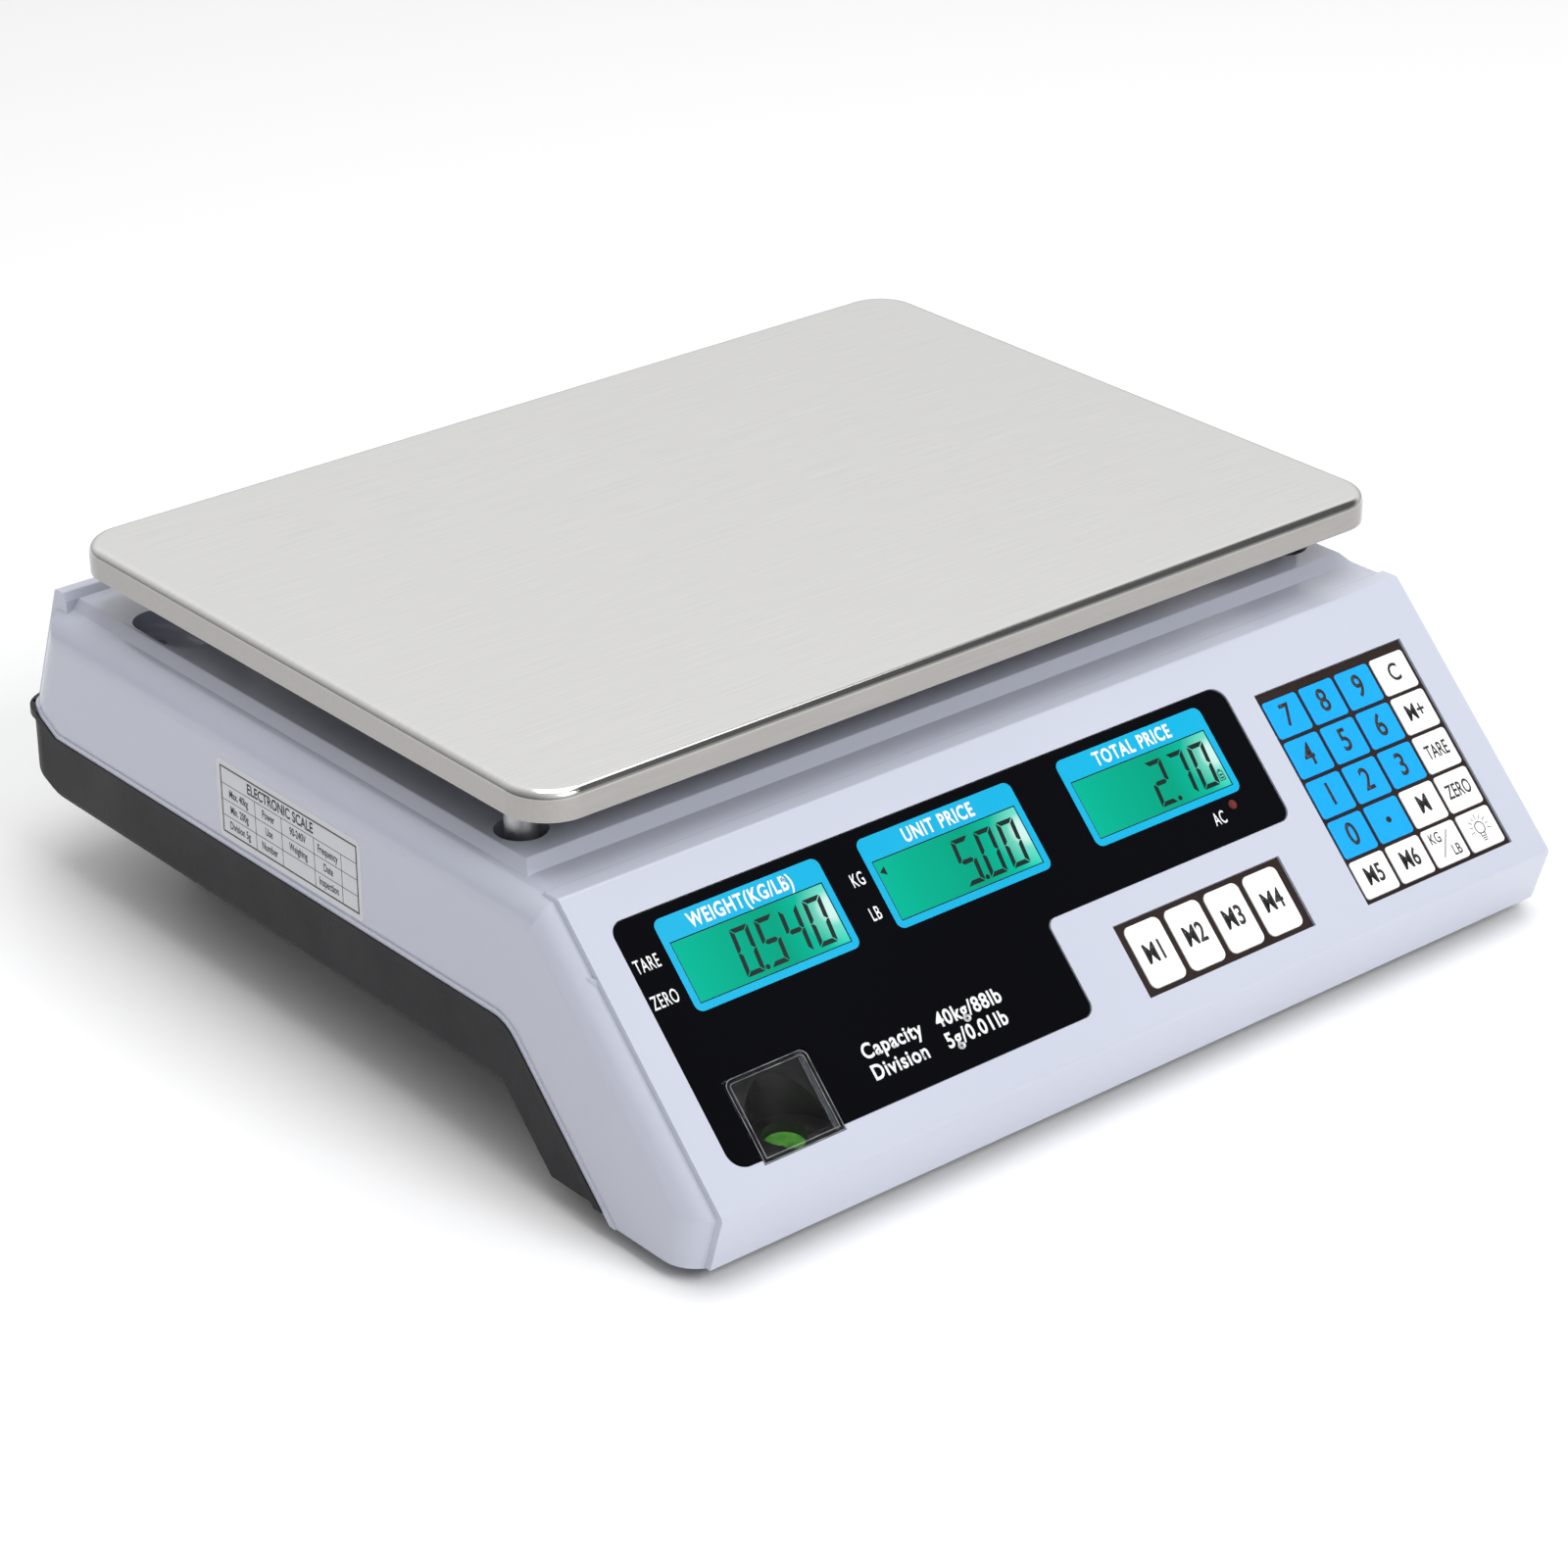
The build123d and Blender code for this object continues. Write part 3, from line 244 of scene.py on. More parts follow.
def plastic(name, dark, light, roughness, spread, bump_scale, bump_strength, mottling=6.0, coat=0.0,
            bump_distance=0.00005, specular=0.5):
    """Moulded plastic: slow colour drift, slightly uneven polish and a fine surface texture."""
    m, tree, shader = material(name)
    coords = coordinates(tree)
    drift = noise(tree, coords, mottling, 2.0)
    colour = ramp(tree, drift, ((0.3, dark), (0.7, light)))
    tree.links.new(colour.outputs["Color"], shader.inputs["Base Color"])
    polish = noise(tree, coords, 45.0, 4.0)
    level = ramp(tree, polish, ((0.25, (roughness - spread,) * 3), (0.75, (roughness + spread,) * 3)))
    tree.links.new(level.outputs["Color"], shader.inputs["Roughness"])
    shader.inputs["Specular IOR Level"].default_value = specular
    shader.inputs["Coat Weight"].default_value = coat
    shader.inputs["Coat Roughness"].default_value = 0.06
    grain = noise(tree, coords, bump_scale, 2.0)
    bump(tree, shader, grain, bump_strength, bump_distance)
    return m


def metal(name, dark, light, roughness, spread, grain_scale, stretch, bump_strength, anisotropic=0.0):
    """Metal with a directional grain."""
    m, tree, shader = material(name)
    coords = coordinates(tree)
    streaks = noise(tree, coords, grain_scale, 4.0, 0.6, stretch)
    colour = ramp(tree, streaks, ((0.3, dark), (0.7, light)))
    tree.links.new(colour.outputs["Color"], shader.inputs["Base Color"])
    level = ramp(tree, streaks, ((0.3, (roughness - spread,) * 3), (0.7, (roughness + spread,) * 3)))
    tree.links.new(level.outputs["Color"], shader.inputs["Roughness"])
    shader.inputs["Metallic"].default_value = 1.0
    shader.inputs["Anisotropic"].default_value = anisotropic
    bump(tree, shader, streaks, bump_strength, 0.00002)
    return m


upper_plastic = plastic(
    "upper_case_plastic", (0.52, 0.545, 0.64), (0.545, 0.57, 0.665), 0.24, 0.03, 2600.0, 0.05, coat=0.35,
)
lower_plastic = plastic(
    "lower_case_plastic", (0.0105, 0.010, 0.0125), (0.0135, 0.013, 0.0155), 0.47, 0.05, 1500.0, 0.5,
    bump_distance=0.0001, specular=0.22,
)
black_gloss = plastic(
    "panel_black_acrylic", (0.0010, 0.0011, 0.0022), (0.0016, 0.0018, 0.0032), 0.10, 0.02, 900.0, 0.02,
    specular=0.4,
)
black_satin = plastic(
    "black_moulded_plastic", (0.012, 0.010, 0.011), (0.017, 0.014, 0.014), 0.38, 0.05, 1900.0, 0.25,
)
frame_film = plastic(
    "keypad_film_black", (0.017, 0.0085, 0.007), (0.021, 0.011, 0.009), 0.36, 0.04, 1200.0, 0.08,
)
key_blue = plastic("key_blue_film", (0.0, 0.335, 0.80), (0.002, 0.36, 0.83), 0.40, 0.04, 1400.0, 0.08)
key_white = plastic("key_white_film", (0.90, 0.90, 0.90), (0.96, 0.96, 0.96), 0.40, 0.04, 1400.0, 0.08)
print_black = plastic(
    "black_print", (0.008, 0.006, 0.006), (0.013, 0.010, 0.010), 0.45, 0.05, 2200.0, 0.1,
)
print_white = plastic("white_print", (0.86, 0.88, 0.89), (0.93, 0.94, 0.95), 0.45, 0.05, 2200.0, 0.1)
print_blue = plastic(
    "display_frame_blue_print", (0.0, 0.36, 0.62), (0.0, 0.40, 0.66), 0.33, 0.03, 1500.0, 0.06,
)
pad_grey = plastic("pad_grey_rubber", (0.44, 0.45, 0.48), (0.50, 0.51, 0.54), 0.55, 0.06, 1100.0, 0.4)
# painted highlight: colour of the bright rings on the level window's edges
painted_edge_highlight = plastic(
    "window_edge_painted_highlight", (0.07, 0.075, 0.085), (0.33, 0.34, 0.36), 0.15, 0.05, 900.0, 0.1, mottling=170.0,
)
label_paper = plastic("label_paper", (0.66, 0.67, 0.70), (0.70, 0.71, 0.74), 0.42, 0.05, 1500.0, 0.15)
rubber = plastic("foot_rubber", (0.018, 0.018, 0.018), (0.028, 0.028, 0.028), 0.75, 0.08, 1100.0, 0.5)
board_green = plastic(
    "circuit_board", (0.012, 0.09, 0.035), (0.02, 0.13, 0.05), 0.35, 0.08, 300.0, 0.4, mottling=120.0,
)
cable_grey = plastic("cable_sheath", (0.30, 0.30, 0.32), (0.38, 0.38, 0.40), 0.45, 0.05, 600.0, 0.2)
battery_plastic = plastic(
    "battery_case_plastic", (0.03, 0.03, 0.034), (0.045, 0.045, 0.05), 0.5, 0.05, 1200.0, 0.4,
)
cast_metal = metal(
    "cast_alloy", (0.42, 0.42, 0.43), (0.56, 0.56, 0.57), 0.42, 0.08, 220.0, (1, 1, 1), 0.5,
)
cell_metal = metal(
    "milled_alloy", (0.60, 0.60, 0.61), (0.74, 0.74, 0.75), 0.28, 0.07, 60.0, (1, 18, 18), 0.3,
)
zinc = metal("zinc_plate", (0.45, 0.46, 0.46), (0.64, 0.64, 0.62), 0.3, 0.08, 400.0, (1, 1, 1), 0.2)
lamination = metal(
    "transformer_iron", (0.10, 0.10, 0.11), (0.20, 0.20, 0.21), 0.45, 0.08, 300.0, (0.2, 6, 0.2), 0.6,
)


def stainless():
    """Bright rolled stainless: a near mirror with fine lengthways lines and faint haze, and painted shade
    on the faces that turn away from straight up, such as the rim.
    """
    m, tree, shader = material("platter_stainless")
    coords = coordinates(tree)
    lines = noise(tree, coords, 90.0, 6.0, 0.65, (0.35, 22.0, 6.0))
    haze = noise(tree, coords, 9.0, 3.0)
    colour = ramp(tree, lines, ((0.25, (0.70, 0.695, 0.685)), (0.75, (0.79, 0.785, 0.775))))
    # Painted shade: the colour is made darker where the surface turns away from straight up, standing in
    # for the dark surroundings that the rolled rim reflects.
    facing = node(tree, "ShaderNodeSeparateXYZ")
    tree.links.new(tree.nodes.new("ShaderNodeNewGeometry").outputs["Normal"], facing.inputs[0])
    painted_rim_shade = ramp(tree, facing.outputs["Z"], ((0.08, (0.50, 0.485, 0.475)), (0.45, (1.0, 1.0, 1.0))))
    rim_shaded_colour = node(tree, "ShaderNodeMix", data_type="RGBA", blend_type="MULTIPLY")
    rim_shaded_colour.inputs["Factor"].default_value = 1.0
    tree.links.new(colour.outputs["Color"], rim_shaded_colour.inputs["A"])
    tree.links.new(painted_rim_shade.outputs["Color"], rim_shaded_colour.inputs["B"])
    tree.links.new(rim_shaded_colour.outputs["Result"], shader.inputs["Base Color"])
    both = node(tree, "ShaderNodeMath", operation="MULTIPLY_ADD")
    both.inputs[1].default_value = 0.45
    tree.links.new(lines, both.inputs[0])
    tree.links.new(haze, both.inputs[2])
    level = ramp(tree, both.outputs[0], ((0.4, (0.10,) * 3), (0.95, (0.19,) * 3)))
    tree.links.new(level.outputs["Color"], shader.inputs["Roughness"])
    shader.inputs["Metallic"].default_value = 1.0
    bump(tree, shader, lines, 0.12, 0.00001)
    return m


platter_steel = stainless()


def clear_plastic():
    m, tree, shader = material("level_window_clear")
    coords = coordinates(tree)
    polish = noise(tree, coords, 120.0, 3.0)
    level = ramp(tree, polish, ((0.3, (0.02,) * 3), (0.7, (0.06,) * 3)))
    tree.links.new(level.outputs["Color"], shader.inputs["Roughness"])
    tint = ramp(tree, polish, ((0.3, (0.93, 0.95, 0.96)), (0.7, (0.98, 0.99, 1.0))))
    tree.links.new(tint.outputs["Color"], shader.inputs["Base Color"])
    shader.inputs["Transmission Weight"].default_value = 1.0
    shader.inputs["IOR"].default_value = 1.46
    return m


window_clear = clear_plastic()


def lamp_material():
    m, tree, shader = material("lamp_lens")
    coords = coordinates(tree)
    tone = ramp(tree, noise(tree, coords, 700.0), ((0.3, (0.10, 0.02, 0.018)), (0.7, (0.17, 0.04, 0.035))))
    tree.links.new(tone.outputs["Color"], shader.inputs["Base Color"])
    shader.inputs["Roughness"].default_value = 0.12
    return m


lamp_lens = lamp_material()


def liquid_material():
    """Green level liquid behind clear plastic."""
    m, tree, shader = material("vial_green_liquid")
    coords = coordinates(tree)
    drift = noise(tree, coords, 260.0, 2.0)
    tone = ramp(tree, drift, ((0.3, (0.045, 0.20, 0.022)), (0.7, (0.10, 0.34, 0.045))))
    tree.links.new(tone.outputs["Color"], shader.inputs["Base Color"])
    # Painted glow: the liquid gives off a faint light in its own green, standing in for the light that
    # reaches it through the window.
    tree.links.new(tone.outputs["Color"], shader.inputs["Emission Color"])
    shader.inputs["Emission Strength"].default_value = 0.35
    shader.inputs["Roughness"].default_value = 0.12
    return m


vial_green_painted_glow = liquid_material()


def display_glass():
    """Lit liquid crystal face: green light that is brightest at the lamp behind one end."""
    m, tree, shader = material("display_green")
    uv = coordinates(tree, "UV")
    split = node(tree, "ShaderNodeSeparateXYZ")
    tree.links.new(uv, split.inputs[0])
    along = ramp(
        tree,
        split.outputs["X"],
        (
            (0.0, (0.0, 0.50, 0.33)),
            (0.25, (0.0, 0.43, 0.27)),
            (0.62, (0.0, 0.36, 0.22)),
            (0.86, (0.0, 0.52, 0.36)),
            (1.0, (0.02, 0.75, 0.58)),
        ),
    )
    mapping = node(tree, "ShaderNodeMapping")
    mapping.inputs["Location"].default_value = (-0.985 * 2.95, -0.60, 0)
    mapping.inputs["Scale"].default_value = (2.95, 1.0, 1.0)
    tree.links.new(uv, mapping.inputs["Vector"])
    length = node(tree, "ShaderNodeVectorMath", operation="LENGTH")
    tree.links.new(mapping.outputs["Vector"], length.inputs[0])
    spot = ramp(
        tree,
        length.outputs["Value"],
        ((0.0, (1, 1, 1)), (0.16, (0.92, 0.92, 0.92)), (0.30, (0.25, 0.25, 0.25)), (0.62, (0, 0, 0))),
    )
    grain = noise(tree, coordinates(tree), 2600.0, 2.0)
    shade = ramp(tree, grain, ((0.3, (0.94,) * 3), (0.7, (1.0,) * 3)))
    mixed = node(tree, "ShaderNodeMix", data_type="RGBA")
    mixed.inputs["B"].default_value = (0.75, 1.0, 0.95, 1)
    tree.links.new(spot.outputs["Color"], mixed.inputs["Factor"])
    tree.links.new(along.outputs["Color"], mixed.inputs["A"])
    fine = node(tree, "ShaderNodeMix", data_type="RGBA", blend_type="MULTIPLY")
    fine.inputs["Factor"].default_value = 1.0
    tree.links.new(mixed.outputs["Result"], fine.inputs["A"])
    tree.links.new(shade.outputs["Color"], fine.inputs["B"])
    tree.links.new(fine.outputs["Result"], shader.inputs["Emission Color"])
    shader.inputs["Emission Strength"].default_value = 0.92
    shader.inputs["Base Color"].default_value = (0.0, 0.05, 0.03, 1)
    shader.inputs["Roughness"].default_value = 0.16
    return m


display_green = display_glass()
segment_dark = plastic(
    "display_segment", (0.001, 0.010, 0.008), (0.002, 0.015, 0.012), 0.35, 0.03, 900.0, 0.02,
)
housing_glass = plastic("display_body", (0.05, 0.10, 0.08), (0.07, 0.13, 0.10), 0.25, 0.04, 700.0, 0.05)

CAD_MATERIALS = {
    "platter": platter_steel,
    "support_pads": pad_grey,
    "support_frame": cast_metal,
    "load_cell": cell_metal,
    "load_cell_bolts": zinc,
    "frame_bolts": zinc,
    "housing_screws": zinc,
    "top_housing": upper_plastic,
    "base_housing": lower_plastic,
    "battery_cover": lower_plastic,
    "display_window": black_gloss,
    "rear_window": black_gloss,
    "weight_lcd": housing_glass,
    "unit_price_lcd": housing_glass,
    "total_price_lcd": housing_glass,
    "rear_lcds": housing_glass,
    "display_board": board_green,
    "keypad_board": board_green,
    "rear_board": board_green,
    "main_board": board_green,
    "level_window": window_clear,
    "level_holder": black_satin,
    "level_vial": vial_green_painted_glow,
    "keypad_frame": frame_film,
    "memory_keypad_frame": frame_film,
    "wiring": cable_grey,
    "ac_lamp": lamp_lens,
    "transformer": lamination,
    "battery": battery_plastic,
    "power_switch": black_satin,
    "power_rocker": black_satin,
    "mains_inlet": black_satin,
}
BLUE_KEYS = [f"key_{digit}" for digit in range(10)] + ["key_point"]
for name, obj in nodes.items():
    chosen = CAD_MATERIALS.get(name)
    if name.startswith("foot_"):
        chosen = rubber
    if name.startswith("key_"):
        chosen = key_blue if name in BLUE_KEYS else key_white
    obj.data.materials.clear()
    obj.data.materials.append(chosen)

# ------------------------------------------------------------------ display panel print
SCALE = "scale"
PRINT = 0.03
FRAME_SIZE = (60.0, 29.0)
FRAME_OFFSET_Y = 2.6
WINDOW_SIZE = (55.5, 19.2)
DISPLAYS = (
    ("weight_lcd", "WEIGHT(KG/LB)", "0.540"),
    ("unit_price_lcd", "UNIT PRICE", "5.00"),
    ("total_price_lcd", "TOTAL PRICE", "2.70"),
)
SEGMENTS = {
    "0": "abcdef", "1": "bc", "2": "abged", "3": "abgcd", "4": "fgbc",
    "5": "afgcd", "6": "afgedc", "7": "abc", "8": "abcdefg", "9": "abcdfg",
}
DIGIT_WIDTH, DIGIT_HEIGHT, DIGIT_PITCH = 6.6, 14.6, 8.9
BAR = 1.45
SEGMENT_GAP = 0.22
DOT_RADIUS = 0.8
DOT_SIDES = 10
DOT_RISE = 0.75
SLANT = 0.10


def digit_shapes(character, x, y):
    """Seven-segment digit as mitred bars, slanted to the right."""
    w, h, b = DIGIT_WIDTH / 2, DIGIT_HEIGHT / 2, BAR
    gap = SEGMENT_GAP

    def upright(edge, inward, rise):
        """One upright bar: inward is the way to the digit's middle, rise is up or down."""
        return (
            (edge, rise * (h - gap)),
            (edge, rise * gap / 2),
            (edge + inward * b * 0.5, rise * gap / 2),
            (edge + inward * b, rise * (gap + b * 0.5)),
            (edge + inward * b, rise * (h - gap - b)),
        )

    bars = {
        "a": ((-w + gap, h), (w - gap, h), (w - gap - b, h - b), (-w + gap + b, h - b)),
        "d": ((-w + gap, -h), (w - gap, -h), (w - gap - b, -h + b), (-w + gap + b, -h + b)),
        "f": upright(-w, 1, 1),
        "b": upright(w, -1, 1),
        "e": upright(-w, 1, -1),
        "c": upright(w, -1, -1),
        "g": (
            (-w + gap + b * 0.55, 0), (-w + gap + b * 1.05, b * 0.5), (w - gap - b * 1.05, b * 0.5),
            (w - gap - b * 0.55, 0), (w - gap - b * 1.05, -b * 0.5), (-w + gap + b * 1.05, -b * 0.5),
        ),
    }
    shapes = []
    for letter in SEGMENTS[character]:
        points = [(x + px + py * SLANT, y + py) for px, py in bars[letter]]
        shapes.append([points])
    return shapes


def number_shapes(text, right, y):
    """A whole number ending at x = right, its decimal point between the digits."""
    shapes = []
    x = right - DIGIT_WIDTH / 2
    for character in reversed(text):
        if character == ".":
            cx = x + DIGIT_WIDTH / 2 + (DIGIT_PITCH - DIGIT_WIDTH) / 2 - SLANT * DIGIT_HEIGHT / 2
            cy = y - DIGIT_HEIGHT / 2 + DOT_RISE
            shapes.append([disc(cx, cy, DOT_RADIUS, DOT_SIDES)])
        else:
            shapes += digit_shapes(character, x, y)
            x -= DIGIT_PITCH
    return shapes


def lit_face(name, face, width, height, body):
    """The lit area of a display, with coordinates that run 0 to 1 along and up."""
    mesh = bpy.data.meshes.new(name)
    bm = bmesh.new()
    layer = bm.loops.layers.uv.new("UVMap")
    matrix = face.matrix(0, 0, 0.03)
    columns, rows = 12, 5
    grid = []
    for i in range(columns + 1):
        x = (i / columns - 0.5) * width * MM
        heights = [(j / rows - 0.5) * height * MM for j in range(rows + 1)]
        grid.append([bm.verts.new(matrix @ Vector((x, y, 0))) for y in heights])
    for i in range(columns):
        for j in range(rows):
            quad = bm.faces.new((grid[i][j], grid[i + 1][j], grid[i + 1][j + 1], grid[i][j + 1]))
            for loop, (di, dj) in zip(quad.loops, ((0, 0), (1, 0), (1, 1), (0, 1))):
                loop[layer].uv = ((i + di) / columns, (j + dj) / rows)
    bm.to_mesh(mesh)
    bm.free()
    return new_object(name, mesh, display_green, body)


def dress_display(prefix, face, panel_level, title, number):
    """Blue printed frame, title, lit face and digits for one display."""
    lit_face(f"{prefix}_face", face, face.width / MM - 0.2, face.height / MM - 0.2, SCALE)
    lift = (panel_level - face.level) / MM
    frame_matrix = face.matrix(0, 0, lift)
    outline = rounded(*FRAME_SIZE, 2.6, 0, FRAME_OFFSET_Y)
    window = rounded(*WINDOW_SIZE, 0)
    mesh = flat_mesh(f"{prefix}_frame_print", [[outline, window]], PRINT, frame_matrix)
    new_object(f"{prefix}_frame_print", mesh, print_blue, SCALE)
    line = {"text": title, "size": 6.2, "bold": 0.17, "width": 0.76, "spacing": 1.13, "y": 13.1}
    mesh = lettering(f"{prefix}_title_print", [line], PRINT, face.matrix(0, 0, lift + PRINT))
    new_object(f"{prefix}_title_print", mesh, print_white, SCALE)
    shapes = number_shapes(number, face.width / 2 / MM - 3.2, -0.6)
    mesh = flat_mesh(f"{prefix}_digits", shapes, PRINT, face.matrix(0, 0, 0.05))
    new_object(f"{prefix}_digits", mesh, segment_dark, SCALE)


panel = console_face("display_window")
for node_name, title, number in DISPLAYS:
    dress_display(node_name, console_face(node_name), panel.level, title, number)

rear_panel = rear_face("rear_window")
rear_centre_x = (75.0, 0.0, -75.0)
for (node_name, title, number), place in zip(DISPLAYS, rear_centre_x):
    near = lambda p, place=place: abs(p.x / MM - place) < 32
    dress_display("rear_" + node_name, rear_face("rear_lcds", near), rear_panel.level, title, number)

# ------------------------------------------------------------------ white print on the panel
weight = console_face("weight_lcd")
unit = console_face("unit_price_lcd")
total = console_face("total_price_lcd")
lamp = console_face("ac_lamp")


def panel_print(name, face, lines):
    mesh = lettering(name, lines, PRINT, face.matrix(0, 0, (panel.level - face.level) / MM))
    new_object(name, mesh, print_white, SCALE)


SMALL = {"size": 5.9, "bold": 0.05, "width": 0.58, "spacing": 1.1}
BOLD = {"size": 6.4, "bold": 0.16, "width": 0.90, "spacing": 1.1, "align": "LEFT"}
panel_print("weight_marks_print", weight, [
    {"text": "TARE", "x": -37.6, "y": 6.2, **SMALL},
    {"text": "ZERO", "x": -37.6, "y": -4.9, **SMALL},
])
panel_print("unit_price_marks_print", unit, [
    {"text": "KG", "x": -35.0, "y": 6.2, **SMALL},
    {"text": "LB", "x": -35.0, "y": -4.9, **SMALL},
])
panel_print("lamp_mark_print", lamp, [{"text": "AC", "x": -7.2, "y": -2.6, **SMALL}])
panel_print("capacity_print", unit, [
    {"text": "Capacity", "x": -61.8, "y": -40.3, **BOLD},
    {"text": "40kg/88lb", "x": -34.0, "y": -40.3, **BOLD},
    {"text": "Division", "x": -61.8, "y": -46.9, **BOLD},
    {"text": "5g/0.01lb", "x": -34.0, "y": -46.9, **BOLD},
])

# painted highlights: thin bright rings on the outer and inner edges of the clear level window, standing in
# for light caught by its moulded edges
pane = console_face("level_window")
PANE_WALL = 1.3
HIGHLIGHT_WIDTH = 0.28
pane_size = (pane.width / MM, pane.height / MM)
pane_radii = (2.5, 2.5, 0.3, 0.3)
inner_size = tuple(side_length - 2 * PANE_WALL for side_length in pane_size)
inner_radii = (1.2, 1.2, 0.2, 0.2)
highlight_rings = []
for (width, height), radii in ((pane_size, pane_radii), (inner_size, inner_radii)):
    inner = tuple(max(radius - HIGHLIGHT_WIDTH, 0.05) for radius in radii)
    highlight_rings.append([rounded(width, height, radii), rounded(width - 2 * HIGHLIGHT_WIDTH, height - 2 * HIGHLIGHT_WIDTH, inner)])
highlight_mesh = flat_mesh("level_window_painted_highlights", highlight_rings, PRINT, pane.matrix())
new_object("level_window_painted_highlights", highlight_mesh, painted_edge_highlight, SCALE)

# small marks inside the displays: the unit arrow and the battery sign
arrow = [[(-26.8, 5.8), (-24.6, 7.2), (-24.6, 4.4)]]
arrow_mesh = flat_mesh("unit_price_lcd_arrow", [arrow], PRINT, unit.matrix(0, 0, 0.05))
new_object("unit_price_lcd_arrow", arrow_mesh, segment_dark, SCALE)
battery_sign = [
    [rounded(2.2, 3.2, 0.2, 25.4, -5.6), rounded(1.7, 2.7, 0.1, 25.4, -5.6)],
    [rounded(0.9, 0.45, 0.1, 25.4, -3.7)],
    [rounded(1.2, 0.5, 0.1, 25.4, -6.3)],
    [rounded(1.2, 0.5, 0.1, 25.4, -5.3)],
]
sign_mesh = flat_mesh("total_price_lcd_battery_sign", battery_sign, PRINT, total.matrix(0, 0, 0.05))
new_object("total_price_lcd_battery_sign", sign_mesh, segment_dark, SCALE)

# ------------------------------------------------------------------ rating label on the left cheek
LABEL_CENTRE_Y, LABEL_CENTRE_Z = 20.0, 67.4
LABEL_SIZE = (75.0, 26.5)
LABEL_RULE = 0.22
TABLE_SIZE = (70.0, 21.5)
ROW_COUNT = 4
COLUMN_SPLITS = (0.25, 0.45, 0.69, 0.89)
LABEL_ROWS = (
    ("Max. 40kg", "Power", "90-240V", "Frequency", ""),
    ("Min. 200g", "Use", "Weighing", "Date", ""),
    ("Division 5g", "Number", "", "Inspection", ""),
)


def on_left_cheek(p):
    """Picks the points of the left cheek beside the label."""
    return 55 * MM < p.z < 85 * MM and p.x < 0 and abs(p.y) < 0.15


side = Face("top_housing", (0, -1, 0), (-1, 0, 0), on_left_cheek)
side.centre = Vector((side.centre.x, LABEL_CENTRE_Y * MM, LABEL_CENTRE_Z * MM))
label_mesh = flat_mesh("rating_label", [[rounded(*LABEL_SIZE, 2.2)]], 0.08, side.matrix())
new_object("rating_label", label_mesh, label_paper, SCALE)
half_w, half_h = TABLE_SIZE[0] / 2, TABLE_SIZE[1] / 2
row_height = TABLE_SIZE[1] / ROW_COUNT
rules = [[rounded(TABLE_SIZE[0] + 1.1, TABLE_SIZE[1] + 1.1, 0), rounded(*TABLE_SIZE, 0)]]
for row in range(1, ROW_COUNT):
    rules.append([rounded(TABLE_SIZE[0], LABEL_RULE, 0, 0, half_h - row * row_height)])
for split in COLUMN_SPLITS:
    x = -half_w + split * TABLE_SIZE[0]
    rules.append([rounded(LABEL_RULE, TABLE_SIZE[1] - row_height, 0, x, -row_height / 2)])
rules_mesh = flat_mesh("rating_label_rules", rules, 0.03, side.matrix(0, 0, 0.08))
new_object("rating_label_rules", rules_mesh, print_black, SCALE)
heading = {"text": "ELECTRONIC SCALE", "size": 4.9, "bold": 0.10, "width": 0.78}
label_lines = [{**heading, "x": -4, "y": half_h - row_height / 2}]
edges = (0.0, *COLUMN_SPLITS, 1.0)
for row, words in enumerate(LABEL_ROWS):
    for column, word in enumerate(words):
        if word:
            x = -half_w + (edges[column] + edges[column + 1]) / 2 * TABLE_SIZE[0]
            y = half_h - (row + 1.5) * row_height
            label_lines.append({"text": word, "size": 3.7, "bold": 0.06, "width": 0.66, "x": x, "y": y})
words_mesh = lettering("rating_label_text", label_lines, 0.03, side.matrix(0, 0, 0.08))
new_object("rating_label_text", words_mesh, print_black, SCALE)

# ------------------------------------------------------------------ key legends
LEGENDS = {f"key_{d}": (str(d), 10.5, 0.16, 0.82) for d in range(10)}
LEGENDS.update({
    "key_clear": ("C", 8.2, 0.14, 0.82),
    "key_memory_plus": ("M+", 7.6, 0.12, 0.78),
    "key_tare": ("TARE", 6.6, 0.10, 0.62),
    "key_zero_scale": ("ZERO", 6.6, 0.10, 0.62),
    "key_memory": ("M", 8.2, 0.16, 0.80),
    "key_m5": ("M5", 8.2, 0.16, 0.74),
    "key_m6": ("M6", 8.2, 0.16, 0.74),
    "key_m1": ("M1", 8.8, 0.18, 0.74),
    "key_m2": ("M2", 8.8, 0.18, 0.74),
    "key_m3": ("M3", 8.8, 0.18, 0.74),
    "key_m4": ("M4", 8.8, 0.18, 0.74),
})


def stroke(x0, y0, x1, y1, width):
    """A straight line of the given width as a four-cornered outline."""
    length = math.hypot(x1 - x0, y1 - y0)
    nx, ny = -(y1 - y0) / length * width / 2, (x1 - x0) / length * width / 2
    return [(x0 + nx, y0 + ny), (x0 - nx, y0 - ny), (x1 - nx, y1 - ny), (x1 + nx, y1 + ny)]


def bulb_shapes():
    """A plain light bulb with rays."""
    shapes = [[disc(0, 0.4, 2.1, 28), disc(0, 0.4, 1.75, 28)]]
    shapes.append([stroke(-0.95, -1.35, -0.8, -2.5, 0.3)])
    shapes.append([stroke(0.95, -1.35, 0.8, -2.5, 0.3)])
    for y in (-2.5, -3.2, -3.9):
        shapes.append([rounded(1.7 + (y + 3.9) * 0.35, 0.32, 0.12, 0, y, 2)])
    for k in range(9):
        a = math.radians(-15 + k * 26.25)
        c, s = math.cos(a), math.sin(a)
        reach = 4.6 if k % 2 == 0 else 4.1
        shapes.append([stroke(2.9 * c, 0.4 + 2.9 * s, reach * c, 0.4 + reach * s, 0.25)])
    return shapes


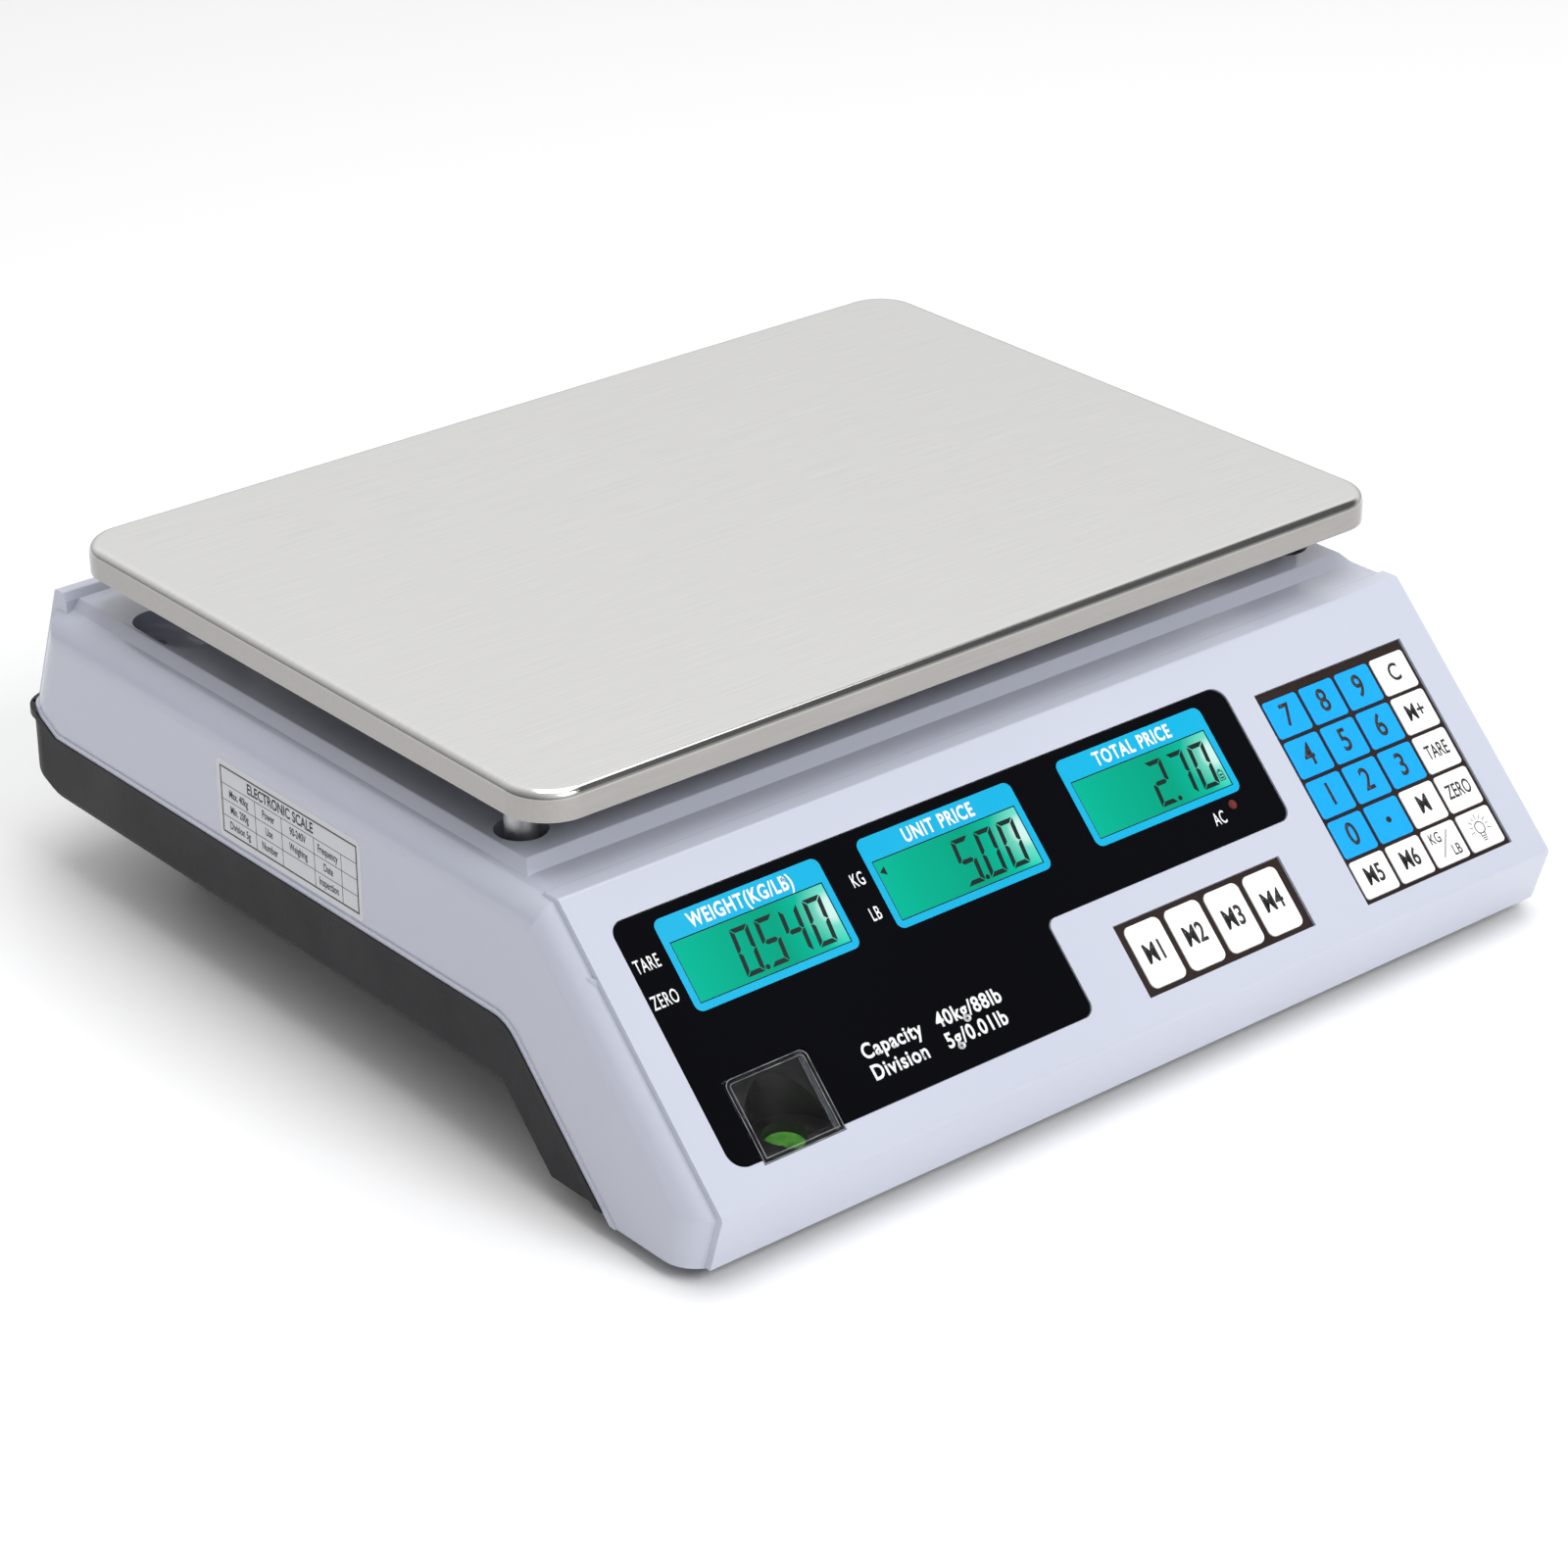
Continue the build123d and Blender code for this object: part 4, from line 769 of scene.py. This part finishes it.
for key_name in sorted(n for n in nodes if n.startswith("key_")):
    face = console_face(key_name)
    body = f"{key_name}_body"
    name = f"{key_name}_legend"
    if key_name in LEGENDS:
        text, size, bold, width = LEGENDS[key_name]
        line = {"text": text, "size": size, "bold": bold, "width": width}
        mesh = lettering(name, [line], PRINT, face.matrix())
    elif key_name == "key_point":
        mesh = flat_mesh(name, [[disc(0, 0, 1.05)]], PRINT, face.matrix())
    elif key_name == "key_kg_lb":
        lines = [
            {"text": "KG", "size": 5.0, "bold": 0.05, "width": 0.72, "x": -3.0, "y": 2.7},
            {"text": "LB", "size": 5.0, "bold": 0.05, "width": 0.72, "x": 3.2, "y": -3.0},
        ]
        mesh = lettering(name, lines, PRINT, face.matrix())
        bar = flat_mesh(f"{key_name}_bar", [[stroke(-2.9, -3.9, 2.9, 4.2, 0.35)]], PRINT, face.matrix())
        new_object(f"{key_name}_bar", bar, print_black, body)
    else:
        mesh = flat_mesh(name, bulb_shapes(), PRINT, face.matrix())
    new_object(name, mesh, print_black, body)

# ------------------------------------------------------------------ stage, light and camera
floor_mesh = bpy.data.meshes.new("floor")
bm = bmesh.new()
bmesh.ops.create_circle(bm, cap_ends=True, radius=14.0, segments=96)
bm.to_mesh(floor_mesh)
bm.free()
floor = bpy.data.objects.new("floor", floor_mesh)
bpy.context.scene.collection.objects.link(floor)
floor_material, floor_tree, floor_shader = material("floor_white")
floor_shader.inputs["Base Color"].default_value = (0.95, 0.95, 0.955, 1)
floor_shader.inputs["Roughness"].default_value = 0.6
floor_mesh.materials.append(floor_material)

# A soft studio: bright overhead, dimmer towards the horizon and on the left, with a dark flag in
# front and to the right, which the sloping panel and the platter's edge reflect.
HORIZON_TO_ZENITH = ((0.50, (0.42,) * 3), (0.60, (0.72,) * 3), (0.72, (0.95,) * 3), (1.0, (1.0,) * 3))
LEFT_SHADE = ((0.50, (1.0,) * 3), (0.95, (0.30,) * 3))
FLAG_SHADE = ((0.86, (1.0,) * 3), (0.95, (0.10,) * 3))
FLAG_DIRECTION = (0.57, -0.45, 0.69)
world = bpy.data.worlds.new("studio")
bpy.context.scene.world = world
world.use_nodes = True
sky = world.node_tree
background = sky.nodes["Background"]


def sky_factor(direction, stops):
    """Brightness of the surroundings by how nearly a direction points the given way."""
    toward = node(sky, "ShaderNodeVectorMath", operation="DOT_PRODUCT")
    sky.links.new(coordinates(sky, "Generated"), toward.inputs[0])
    toward.inputs[1].default_value = direction
    half = node(sky, "ShaderNodeMath", operation="MULTIPLY_ADD")
    half.inputs[1].default_value = 0.5
    half.inputs[2].default_value = 0.5
    sky.links.new(toward.outputs["Value"], half.inputs[0])
    return ramp(sky, half.outputs[0], stops).outputs["Color"]


sky_colour = sky_factor((0, 0, 1), HORIZON_TO_ZENITH)
for direction, stops in (((-1, 0, 0), LEFT_SHADE), (FLAG_DIRECTION, FLAG_SHADE)):
    product = node(sky, "ShaderNodeMix", data_type="RGBA", blend_type="MULTIPLY")
    product.inputs["Factor"].default_value = 1.0
    sky.links.new(sky_colour, product.inputs["A"])
    sky.links.new(sky_factor(direction, stops), product.inputs["B"])
    sky_colour = product.outputs["Result"]
sky.links.new(sky_colour, background.inputs["Color"])
background.inputs["Strength"].default_value = 1.0
bpy.context.scene.view_settings.view_transform = "Standard"


def area_light(name, place, aim, size, power, colour=(1, 1, 1)):
    light = bpy.data.lights.new(name, "AREA")
    light.shape = "RECTANGLE"
    light.size, light.size_y = size
    light.energy = power
    light.color = colour
    obj = bpy.data.objects.new(name, light)
    bpy.context.scene.collection.objects.link(obj)
    obj.location = place
    obj.rotation_euler = (Vector(aim) - Vector(place)).to_track_quat("-Z", "Y").to_euler()
    return obj


area_light("key_light", (0.2, -0.2, 2.0), (0, 0, 0.05), (1.6, 1.6), 20.0)
area_light("front_light", (0.1, -1.9, 1.55), (0, -0.1, 0.05), (1.1, 0.8), 26.0)

camera_data = bpy.data.cameras.new("camera")
camera_data.sensor_width = 36.0
camera_data.lens = 103.2
camera_data.clip_end = 100.0
camera = bpy.data.objects.new("camera", camera_data)
bpy.context.scene.collection.objects.link(camera)
AZIMUTH, ELEVATION, ROLL = map(math.radians, (-39.89, 26.65, -0.28))
TARGET = Vector((-0.10927, -0.13153, 0.122))
DISTANCE = 1.24079
level_reach = math.cos(ELEVATION)
back = Vector((math.sin(AZIMUTH) * level_reach, -math.cos(AZIMUTH) * level_reach, math.sin(ELEVATION)))
right = (-back).cross(Vector((0, 0, 1))).normalized()
up = right.cross(-back)
turned_right = right * math.cos(ROLL) + up * math.sin(ROLL)
turned_up = up * math.cos(ROLL) - right * math.sin(ROLL)
turn = Matrix((turned_right, turned_up, back)).transposed().to_4x4()
camera.matrix_world = Matrix.Translation(TARGET + back * DISTANCE) @ turn
bpy.context.scene.camera = camera

bpy.context.view_layer.update()
